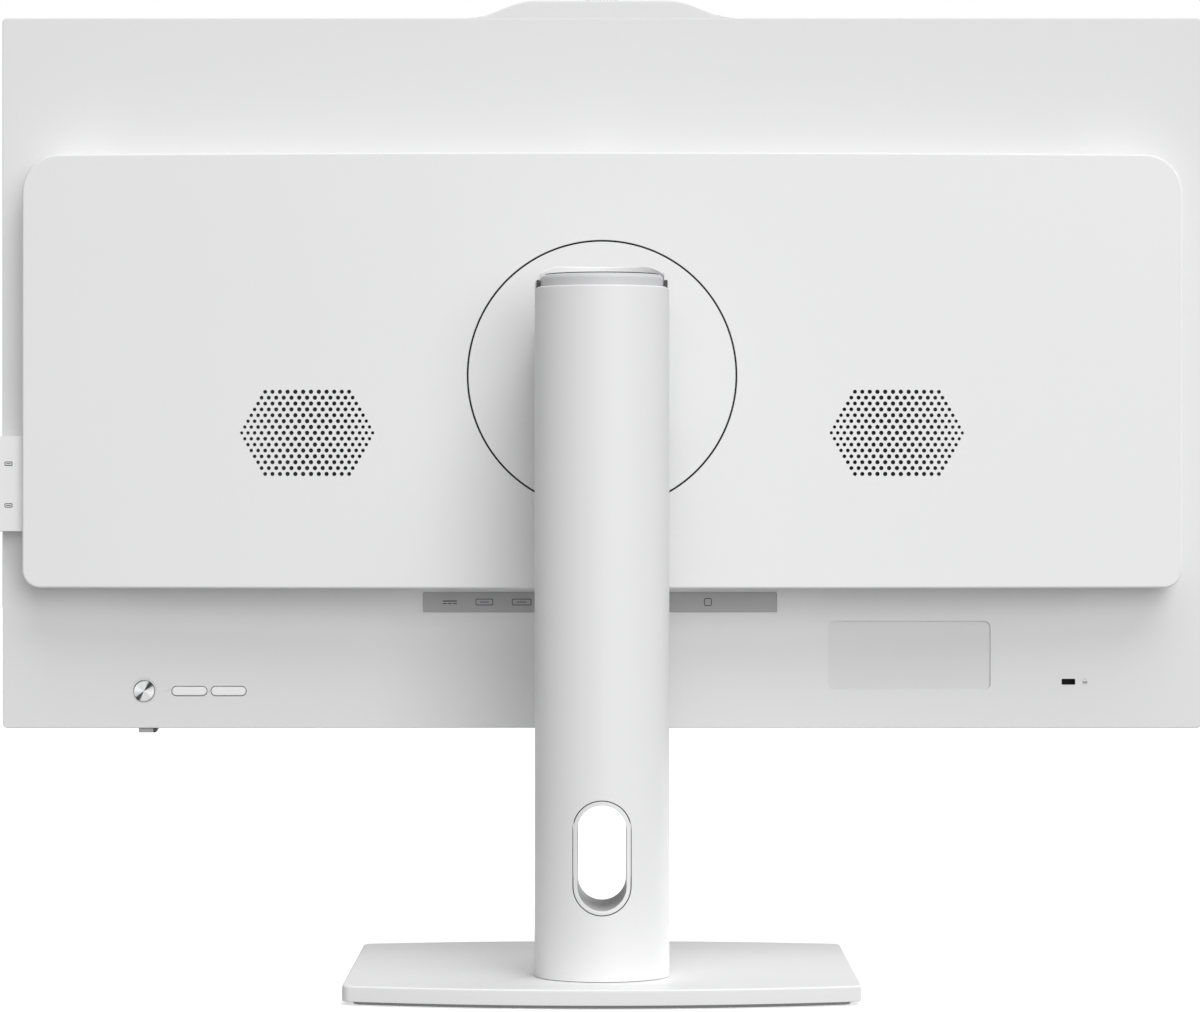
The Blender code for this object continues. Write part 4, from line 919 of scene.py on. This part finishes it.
# ---------------------------------------------------------------- groove liner
# A black ring behind the groove, on the inside of the rear cover, and a lip of the same black that
# fills the groove. Both are painted shade that keeps the narrow groove dark.
# Near-black with a coarse grain, used as painted shade in the groove and deep in the lock slot.
deep_shade_black = moulded_plastic("painted_deep_shade", (0.012, 0.012, 0.012), 0.9, grain=0.5, grain_scale=700.0, tint=0.2)
ring_inner, ring_outer, ring_front_y, ring_rear_y = 0.0655, 0.0705, -0.0340, -0.0314
shade_ring = disc_rod("groove_painted_shade_ring", ring_front_y, ring_rear_y, ring_outer, 96)
carve(shade_ring, disc_rod("ring_bore", -0.1, 0.0, ring_inner, 96))
round_edges(shade_ring, back_rim, 0.0005, 2)
finish_piece(shade_ring, "display", deep_shade_black, "dark_plastic")
lip_play, lip_sink = 0.00005, 0.0004
shade_lip = disc_rod("groove_painted_shade_lip", ring_front_y, disc_high.y + 0.001, disc_radius + disc_gap - lip_play)
carve(shade_lip, disc_rod("lip_bore", -0.1, 0.0, disc_radius + lip_play))
carve(shade_lip, bulge_drum(lip_sink), how="INTERSECT")
finish_piece(shade_lip, "display", deep_shade_black, "dark_plastic")


# ---------------------------------------------------------------- port plate and sockets
# The tin-plated steel plate under the housing with one window for each connector, and the
# connectors themselves: drawn steel shells with black tongues, and a moulded network jack.
tin_plate = plain_metal("tin_plate", (0.70, 0.70, 0.69), 0.30)
socket_black = moulded_plastic("socket_black", (0.02, 0.02, 0.021), 0.4, grain=0.1, tint=0.05)
repaint(tin_plate, "io_plate")
socket_wall, mouth_depth = 0.00045, 0.0085
tongue_margin, tongue_back, tongue_root = 0.0020, 0.0010, 0.0004
for name, tongue_thick in (("hdmi_socket", 0.0011), ("display_socket", 0.0011),
                           ("usb_socket_1", 0.0020), ("usb_socket_2", 0.0020)):
    low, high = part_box(name)
    shell = block(f"{name}_shell", low, high)
    round_edges(shell, along_z, 0.0007, 3)
    sink(shell, faces_down, socket_wall, (0.0, 0.0, mouth_depth))
    finish_piece(shell, "display", tin_plate, "steel", name)
    middle_y = (low.y + high.y) / 2
    tongue = block(f"{name}_tongue",
                   (low.x + tongue_margin, middle_y - tongue_thick / 2, low.z + tongue_back),
                   (high.x - tongue_margin, middle_y + tongue_thick / 2, low.z + mouth_depth + tongue_root))
    round_edges(tongue, bottom_rim, 0.0003, 2)
    finish_piece(tongue, "display", socket_black, "dark_plastic")

low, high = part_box("lan_socket")
jack = block("lan_jack", low, high)
round_edges(jack, bottom_rim, 0.0004, 2)
carve(jack, block("jack_mouth", (low.x + 0.0020, low.y + 0.0022, low.z - 0.001),
                  (high.x - 0.0020, high.y - 0.0034, low.z + 0.0120)))
carve(jack, block("jack_latch", (low.x + 0.0048, high.y - 0.0040, low.z - 0.001),
                  (high.x - 0.0048, high.y - 0.0016, low.z + 0.0060)))
finish_piece(jack, "display", socket_black, "dark_plastic", "lan_socket")
gold = plain_metal("gold_plate", (0.85, 0.66, 0.32), 0.25)
pins = []
pin_count, pin_pitch, pin_half = 8, 0.00102, 0.0002
for place in range(pin_count):
    x = (low.x + high.x) / 2 + (place - (pin_count - 1) / 2) * pin_pitch
    pins.append(block("jack_pin", (x - pin_half, low.y + 0.0021, low.z + 0.0015),
                      (x + pin_half, low.y + 0.0026, low.z + 0.0100)))
jack_pins = join("lan_jack_pins", pins)
round_edges(jack_pins, along_z, 0.00008, 1)
finish_piece(jack_pins, "display", gold, "copper")

def upright_rod(name, middle, low_z, high_z, radius, sides):
    """A round bar that stands on end at middle."""
    return rod(name, (middle.x, middle.y, low_z), (middle.x, middle.y, high_z), radius, sides)


ring_play, ring_wall = 0.0001, 0.0003
for name, bore_radius, tip_radius in (("dc_socket", 0.0032, 0.0009), ("audio_socket", 0.0019, 0.0)):
    low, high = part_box(name)
    middle = (low + high) / 2
    body = block(f"{name}_body", low, high)
    round_edges(body, along_z, 0.0008, 3)
    carve(body, upright_rod("bore", middle, low.z - 0.001, low.z + 0.0100, bore_radius, 32))
    round_edges(body, bottom_rim, 0.0003, 2)
    finish_piece(body, "display", socket_black, "dark_plastic", name)
    ring = upright_rod(f"{name}_ring", middle, low.z + 0.0004, low.z + 0.0095, bore_radius - ring_play, 32)
    carve(ring, upright_rod("ring_bore", middle, low.z - 0.001, low.z + 0.0088,
                            bore_radius - ring_play - ring_wall, 32))
    if tip_radius:
        carve(ring, upright_rod("tip", middle, low.z + 0.0020, low.z + 0.0090, tip_radius, 20), how="UNION")
    finish_piece(ring, "display", gold, "copper")


# ---------------------------------------------------------------- port strip
# The grey polyester strip under the ports, stuck in its pocket, with plain printed marks for the
# kinds of port above it: direct current, four wide ports, a taller one and a small square one.
strip_grey = moulded_plastic("strip_grey", (0.40, 0.40, 0.405), 0.55, grain=0.10, tint=0.03)
strip = block("port_strip", strip_low, strip_high)
round_edges(strip, along_y, 0.0006, 3)
round_edges(strip, rear_edge(strip_high.y), 0.00006, 1)
finish_piece(strip, "display", strip_grey, "grey_plastic", "port_label_strip")

mark_ink = moulded_plastic("mark_ink", (0.035, 0.035, 0.037), 0.5, grain=0.2, grain_scale=3000.0, tint=0.08)
ink_rise, ink_line = 0.00004, 0.0004
strip_mid_z = (strip_low.z + strip_high.z) / 2


def ink_bar(x_low, x_high, z_low, z_high, y=strip_high.y):
    """One printed stroke on a face that looks back, at that Y."""
    return block("stroke", (x_low, y - ink_rise, z_low), (x_high, y + ink_rise, z_high))


def ink_frame(x, z, wide, tall, line=ink_line, y=strip_high.y):
    """A printed outline of a socket, open in the middle."""
    outline = block("outline", (x - wide / 2, y - ink_rise, z - tall / 2),
                    (x + wide / 2, y + ink_rise, z + tall / 2))
    round_edges(outline, along_y, tall / 4, 3)
    inside = block("inside", (x - wide / 2 + line, y - 0.01, z - tall / 2 + line),
                   (x + wide / 2 - line, y + 0.01, z + tall / 2 - line))
    round_edges(inside, along_y, tall / 6, 3)
    return carve(outline, inside)


power_mark_x, dash_long, dash_pitch = 0.0740, 0.0020, 0.0026
socket_marks = ((0.0600, 0.0090, 0.0034), (0.0410, 0.0100, 0.0034), (0.0190, 0.0080, 0.0034),
                (0.0010, 0.0080, 0.0034), (-0.0240, 0.0058, 0.0046))
strokes = [ink_bar(power_mark_x, power_mark_x + 0.0072, strip_mid_z + 0.0002, strip_mid_z + 0.0008)]
for dash in range(3):
    x = power_mark_x + dash * dash_pitch
    strokes.append(ink_bar(x, x + dash_long, strip_mid_z - 0.0010, strip_mid_z - 0.0005))
for x, wide, tall in socket_marks:
    strokes.append(ink_frame(x, strip_mid_z, wide, tall))
    strokes.append(ink_bar(x - wide / 4, x + wide / 4,
                           strip_mid_z - ink_line / 2, strip_mid_z + ink_line / 2))
strokes.append(ink_frame(-0.0540, strip_mid_z, 0.0040, 0.0040))
finish_piece(join("port_marks", strokes), "display", mark_ink, "dark_plastic")


# ---------------------------------------------------------------- power button
# A turned aluminium button, faced on a lathe, with a polished chamfer round its edge. The bright
# and dark wedges of its spun face are partly its real sideways highlights and partly a painted
# reflection in its colour. It presses in by under a millimetre.
def spun_metal(name, colour, roughness, across, centre):
    """Aluminium faced on a lathe: fine rings about centre, which draw its reflections out sideways,
    and a painted reflection in its colour, bright and dark wedges on the way round centre."""
    paint = plain_metal(name, colour, roughness, drift=0.03, scratch=0.02)
    nodes, links = paint.node_tree.nodes, paint.node_tree.links
    shader = shader_of(paint)
    shader.inputs["Anisotropic"].default_value = 0.85
    lathe = nodes.new("ShaderNodeTangent")
    lathe.direction_type = "RADIAL"
    lathe.axis = across
    links.new(lathe.outputs["Tangent"], shader.inputs["Tangent"])
    where = nodes.new("ShaderNodeTexCoord").outputs["Object"]
    shift = nodes.new("ShaderNodeMapping")
    shift.inputs["Location"].default_value = [-c for c in centre]
    links.new(where, shift.inputs["Vector"])
    rings = nodes.new("ShaderNodeTexWave")
    rings.wave_type = "RINGS"
    rings.rings_direction = across
    rings.inputs["Scale"].default_value = 1600.0
    links.new(shift.outputs["Vector"], rings.inputs["Vector"])
    raise_relief(paint, rings.outputs["Fac"], 0.15, 0.00005)

    # Painted reflection: the base colour goes through bright and dark wedges round the centre.
    lay = nodes.new("ShaderNodeMapping")
    lay.inputs["Location"].default_value = (-centre.x, centre.z, -centre.y)
    lay.inputs["Rotation"].default_value = (math.radians(90), 0.0, 0.0)
    links.new(where, lay.inputs["Vector"])
    sweep = nodes.new("ShaderNodeTexGradient")
    sweep.gradient_type = "RADIAL"
    links.new(lay.outputs["Vector"], sweep.inputs["Vector"])
    fan = nodes.new("ShaderNodeValToRGB")
    fan.color_ramp.interpolation = "EASE"
    stops = fan.color_ramp.elements
    for turn, brightness in zip(reflection_wedge_turns, painted_reflection_shades):
        stop = stops.new(turn)
        stop.color = (*shaded(colour, brightness), 1.0)
    stops.remove(stops[0])
    stops.remove(stops[len(stops) - 1])
    links.new(sweep.outputs["Fac"], fan.inputs["Fac"])
    links.new(fan.outputs["Color"], shader.inputs["Base Color"])
    return paint


# Where the painted reflection's wedges lie, in turns round the centre, and how bright it is at each.
reflection_wedge_turns = (0.01, 0.07, 0.10, 0.13, 0.16, 0.20, 0.35, 0.48, 0.58, 0.62, 0.66, 0.71, 0.85, 0.99)
painted_reflection_shades = (1.0, 0.80, 0.15, 0.05, 0.15, 0.90, 0.75, 1.0, 0.80, 0.10, 0.10, 0.85, 0.70, 1.0)
spun_aluminium = spun_metal("spun_aluminium", (0.54, 0.54, 0.545), 0.30, "Y", power_middle)
button = rod("power_button_turned", (power_middle.x, power_low.y, power_middle.z),
             (power_middle.x, power_high.y, power_middle.z), power_radius, 96)
round_edges(button, back_rim, 0.0005, 2)
sink(button, bowed_back, 0.0003, (0.0, -0.00012, 0.0))
finish_piece(button, "power_button", spun_aluminium, "aluminium", "power_button", angle=15.0)


# ---------------------------------------------------------------- menu buttons
# Two white lozenge keys moulded in the same ABS as the back, slightly proud, that rock the
# switches on the button board behind them.
key_white = moulded_plastic("key_white", (0.86, 0.86, 0.862), 0.42)
key_shrink = Vector((0.00015, 0.0, 0.00015))
for number in (1, 2):
    low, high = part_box(f"menu_button_{number}")
    low, high = low + key_shrink, high - key_shrink
    key = block(f"menu_key_{number}", low, high)
    round_edges(key, along_y, (high.z - low.z) / 2 - full_round, 12)
    round_edges(key, rear_edge(high.y), 0.0006, 4)
    finish_piece(key, f"menu_button_{number}", key_white, "white_plastic", f"menu_button_{number}")


# ---------------------------------------------------------------- status light tab
# A grey light guide that hangs just below the panel's lower edge, with a black-painted bevelled
# end so that the light leaves it only towards the front.
led_low, led_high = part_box("led_window")
led_grey = moulded_plastic("led_grey", (0.42, 0.42, 0.43), 0.25, grain=0.03, tint=0.03)
led_dark_width, led_bevel = 0.0022, 0.0011
led = block("status_light_guide", (led_low.x + led_dark_width, led_low.y, led_low.z), led_high)
round_edges(led, bottom_rim, 0.0004, 3)
finish_piece(led, "display", led_grey, "grey_plastic", "led_window")
led_end = block("status_light_end", led_low, (led_low.x + led_dark_width, led_high.y, led_high.z))
push(led_end, lambda v: v.co.x < led_low.x + 1e-5 and v.co.z < led_low.z + 1e-5, (led_bevel, 0.0, 0.0))
round_edges(led_end, along_y, 0.0002, 2)
finish_piece(led_end, "display", black_abs, "dark_plastic")


# ---------------------------------------------------------------- side port block
# The white moulded block at the panel's +X edge that holds two upright ports, each a steel shell
# with a tongue, and a small printed mark for each on its rear face.
side_low, side_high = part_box("side_io_block")
side_block = block("side_port_moulding", side_low, side_high)
port_fit = 0.0003
for number in (1, 2):
    low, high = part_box(f"side_usb_socket_{number}")
    carve(side_block, block("port_way", (low.x - port_fit, low.y - port_fit, low.z - port_fit),
                            (side_high.x + 0.01, high.y + port_fit, high.z + port_fit)))


def side_rim(edge):
    return back_rim(edge) and any(abs(v.co.y - side_high.y) < 1e-6 for v in edge.verts)


round_edges(side_block, side_rim, 0.0005, 3)
finish_piece(side_block, "display", white_abs, "white_plastic", "side_io_block")
marks = []
mark_x, mark_wide, mark_tall, mark_line = 0.3004, 0.0040, 0.0022, 0.0004
bar_wide, bar_tall = 0.0024, 0.00044
tongue_half, tongue_margin = 0.0010, 0.0016
for number in (1, 2):
    name = f"side_usb_socket_{number}"
    low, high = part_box(name)
    port = block(f"{name}_shell", low, high)
    round_edges(port, lambda e: runs_along(e, 0), 0.0006, 3)
    sink(port, lambda f: f.normal.x > 0.9, socket_wall, (-mouth_depth, 0.0, 0.0))
    finish_piece(port, "display", tin_plate, "steel", name)
    middle = (low + high) / 2
    tongue = block(f"{name}_tongue",
                   (high.x - mouth_depth - tongue_root, middle.y - tongue_half, low.z + tongue_margin),
                   (high.x - tongue_back, middle.y + tongue_half, high.z - tongue_margin))
    round_edges(tongue, lambda e: along_z(e) and e.verts[0].co.x > middle.x, 0.0003, 2)
    finish_piece(tongue, "display", socket_black, "dark_plastic")
    marks.append(ink_frame(mark_x, middle.z, mark_wide, mark_tall, mark_line, side_high.y))
    marks.append(ink_bar(mark_x - bar_wide / 2, mark_x + bar_wide / 2,
                         middle.z - bar_tall / 2, middle.z + bar_tall / 2, side_high.y))
finish_piece(join("side_port_marks", marks), "display", mark_ink, "dark_plastic")


# ---------------------------------------------------------------- lock slot
# The black-painted insert behind the lock opening, with its own smaller slot and a black plate that
# closes it as painted shade deep in the slot, and a faint printed padlock beside it.
repaint(black_abs, "lock_slot_insert")
insert_low, insert_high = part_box("lock_slot_insert")
# A black plate behind the insert, painted shade that keeps the slot dark.
lock_shade_plate = block("lock_slot_shade_plate", (insert_low.x, insert_low.y - 0.0012, insert_low.z),
                     (insert_high.x, insert_low.y - 0.0002, insert_high.z))
round_edges(lock_shade_plate, along_y, 0.0010, 3)
finish_piece(lock_shade_plate, "display", deep_shade_black, "dark_plastic")
lock_grey = moulded_plastic("lock_grey", (0.55, 0.55, 0.56), 0.5, grain=0.2, grain_scale=3000.0)
lock_mark_x, lock_mark_z = -0.2463, (lock_low.z + lock_high.z) / 2
padlock = [ink_bar(lock_mark_x - 0.0013, lock_mark_x + 0.0013,
                   lock_mark_z - 0.0013, lock_mark_z + 0.0004, back_y),
           ink_frame(lock_mark_x, lock_mark_z + 0.0006, 0.0018, 0.0022, 0.0003, back_y)]
finish_piece(join("padlock_mark", padlock), "display", lock_grey, "grey_plastic")


# ---------------------------------------------------------------- camera housing
# The white ABS brow along the top of the panel that holds the camera. Its flanks ease down into
# the panel's top edge, and a groove along its top takes the privacy slider.
brow_low, brow_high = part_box("camera_housing")
brow_top_half, brow_cuts = 0.0340, 14
slider_low, slider_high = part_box("privacy_slider")
groove_half, groove_depth, groove_fit = 0.0168, 0.0017, 0.0003


def brow_height(x):
    """The brow's height above the panel's top edge at that X, on its eased flank."""
    share = (abs(x) - brow_top_half) / (brow_high.x - brow_top_half)
    return (brow_high.z - shell_high.z) * (1 - 3 * share ** 2 + 2 * share ** 3)


brow_foot_z = shell_high.z - 0.0007
brow = block("camera_brow", (brow_low.x, brow_low.y, brow_foot_z),
             (brow_high.x, back_y - 0.0001, brow_high.z))
stations = [brow_top_half + (brow_high.x - brow_top_half) * k / brow_cuts for k in range(brow_cuts)]
for x in stations:
    slice_at(brow, x)
    slice_at(brow, -x)
for x in stations[1:] + [brow_high.x]:
    drop = brow_height(x) - (brow_high.z - shell_high.z)
    push(brow, lambda v: abs(abs(v.co.x) - x) < 1e-6 and v.co.z > brow_foot_z + 1e-4, (0.0, 0.0, drop))


def brow_rim(edge):
    return parts_faces(edge, lambda f: f.normal.z > 0.5, lambda f: abs(f.normal.y) > 0.9) and (
        abs(edge.verts[0].co.x) < brow_high.x - 0.008)


round_edges(brow, brow_rim, 0.0009, 3)
carve(brow, block("slider_groove", (-groove_half, slider_low.y - groove_fit, brow_high.z - groove_depth),
                  (groove_half, slider_high.y + groove_fit, brow_high.z + 0.01)))
lens_low, lens_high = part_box("camera_lens")
lens_middle = (lens_low + lens_high) / 2
lens_radius = (lens_high.x - lens_low.x) / 2
lens_fit = 0.0003
carve(brow, rod("lens_way", (0.0, brow_low.y - 0.01, lens_middle.z),
                (0.0, lens_high.y + lens_fit, lens_middle.z), lens_radius + lens_fit, 48))
finish_piece(brow, "display", shell_white, "white_plastic", "camera_housing")


# ---------------------------------------------------------------- privacy slider and camera
# The dark ribbed thumb piece that slides a shutter over the camera, and the lens itself: a glass
# dome in a black barrel.
slider = block("privacy_slider_moulding", slider_low, slider_high)
round_edges(slider, top_rim, 0.0004, 3)
grips = []
grip_pitch, grip_half = 0.0018, 0.00035
for place in range(-3, 4):
    x = place * grip_pitch
    grips.append(block("grip", (x - grip_half, slider_low.y - 0.001, slider_high.z - grip_half),
                       (x + grip_half, slider_high.y + 0.001, slider_high.z + 0.001)))
carve(slider, join("grips", grips))
slider_grey = moulded_plastic("slider_grey", (0.46, 0.46, 0.465), 0.45, grain=0.1)
finish_piece(slider, "privacy_slider", slider_grey, "dark_plastic", "privacy_slider")

dark_glass, glass_where = blank_paint("dark_glass")
shader_of(dark_glass).inputs["Coat Weight"].default_value = 1.0
shader_of(dark_glass).inputs["Coat Roughness"].default_value = 0.03
glass_cloud = clouds(dark_glass, glass_where, 30.0)
vary_tone(dark_glass, glass_cloud, (0.004, 0.004, 0.006), (0.010, 0.010, 0.014))
vary_gloss(dark_glass, glass_cloud, 0.10, 0.16)

barrel = rod("camera_barrel", (0.0, lens_low.y, lens_middle.z), (0.0, lens_high.y, lens_middle.z),
             lens_radius, 48)
select(barrel, "FACE", faces_front)
bpy.ops.mesh.inset(thickness=0.0007)
bpy.ops.mesh.extrude_region_move(TRANSFORM_OT_translate={"value": (0.0, 0.0008, 0.0)})
bpy.ops.mesh.inset(thickness=0.0008)
bpy.ops.mesh.extrude_region_move(TRANSFORM_OT_translate={"value": (0.0, -0.0004, 0.0)})
done()
round_edges(barrel, lambda e: parts_faces(e, faces_front, not_back) and
            e.verts[0].co.y < lens_low.y + 1e-5, 0.0002, 2)
finish_piece(barrel, "display", dark_glass, "screen_glass", "camera_lens")


# ---------------------------------------------------------------- front frame
# The thin white ABS frame round the screen, with a chin below, snapped into the rear shell with
# its outer edge rounded over.
bezel_low, bezel_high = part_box("front_bezel")
screen_low, screen_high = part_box("lcd_panel")
screen_fit, bezel_round = 0.0003, 0.0011


def front_edge(y):
    """A test for the edges that lie wholly in a front face at that Y."""
    return lambda edge: all(v.co.y < y + 1e-6 for v in edge.verts)


bezel = block("front_frame", bezel_low, bezel_high)
round_edges(bezel, along_y, panel_corner, 6)
round_edges(bezel, front_edge(bezel_low.y), bezel_round, 4)
carve(bezel, block("screen_way", (screen_low.x - screen_fit, bezel_low.y - 0.01, screen_low.z - screen_fit),
                   (screen_high.x + screen_fit, bezel_high.y + 0.01, screen_high.z + screen_fit)))
finish_piece(bezel, "display", white_abs, "white_plastic", "front_bezel")


# ---------------------------------------------------------------- screen
# The display's laminate: a matt anti-glare sheet over a dark panel, with a black masked border
# round the lit area and a hair of a bevel along its edge.
screen_border, screen_bevel = 0.0030, 0.0003


def panel_glass(name, colour, roughness):
    """Anti-glare screen film: near black, with a very fine sparkle grain."""
    paint, where = blank_paint(name)
    shader_of(paint).inputs["Coat Weight"].default_value = 0.3
    shader_of(paint).inputs["Coat Roughness"].default_value = 0.16
    vary_tone(paint, clouds(paint, where, 12.0), shaded(colour, 0.9), shaded(colour, 1.15))
    sparkle = clouds(paint, where, 4200.0)
    vary_gloss(paint, sparkle, roughness - 0.04, roughness + 0.04)
    raise_relief(paint, sparkle, 0.05, 0.00005)
    return paint


lit_area = panel_glass("lit_area_film", (0.014, 0.015, 0.018), 0.28)
mask_border = panel_glass("mask_border_film", (0.005, 0.005, 0.006), 0.24)
screen = block("screen_laminate", screen_low, screen_high)
round_edges(screen, front_edge(screen_low.y), screen_bevel, 2)
select(screen, "FACE", faces_front)
bpy.ops.mesh.inset(thickness=screen_border - screen_bevel)
done()
finish_piece(screen, "display", mask_border, "screen_glass", "lcd_panel")
screen.data.materials.append(lit_area)
for face in screen.data.polygons:
    if faces_front(face) and abs(face.center.x) < 0.01 and face.area > 0.1:
        face.material_index = 1


# ---------------------------------------------------------------- electronics inside the housing
# The boards, modules and cooler keep their plain shapes behind the covers, the boards in a
# solder-masked glass-epoxy finish, the cooler and fins milled aluminium and the pipe drawn copper.
def printed_board(name, mask, track):
    """A solder-masked board: fine square tracks under the lacquer."""
    paint, where = blank_paint(name)
    nodes, links = paint.node_tree.nodes, paint.node_tree.links
    shader_of(paint).inputs["Roughness"].default_value = 0.4
    turn = nodes.new("ShaderNodeMapping")
    turn.inputs["Rotation"].default_value = (math.radians(90), 0.0, 0.0)
    links.new(where, turn.inputs["Vector"])
    maze = nodes.new("ShaderNodeTexBrick")
    maze.inputs["Scale"].default_value = 180.0
    maze.inputs["Mortar Size"].default_value = 0.03
    maze.inputs["Color1"].default_value = (*mask, 1.0)
    maze.inputs["Color2"].default_value = (*shaded(mask, 0.8), 1.0)
    maze.inputs["Mortar"].default_value = (*track, 1.0)
    links.new(turn.outputs["Vector"], maze.inputs["Vector"])
    links.new(maze.outputs["Color"], shader_of(paint).inputs["Base Color"])
    raise_relief(paint, maze.outputs["Fac"], 0.3, 0.0001)
    return paint


green_board = printed_board("green_board", (0.02, 0.12, 0.06), (0.05, 0.22, 0.11))
black_board = printed_board("black_board", (0.015, 0.015, 0.017), (0.05, 0.05, 0.055))
milled_aluminium = plain_metal("milled_aluminium", (0.76, 0.76, 0.77), 0.32, streak=(0.1, 1.0, 1.0))
drawn_copper = plain_metal("drawn_copper", (0.72, 0.40, 0.25), 0.30, streak=(0.1, 1.0, 1.0))
repaint(green_board, "motherboard", "button_board")
repaint(black_board, "ssd_module", "memory_module")
repaint(milled_aluminium, "cpu_cooler", "heatsink_fins")
repaint(drawn_copper, "heat_pipe")
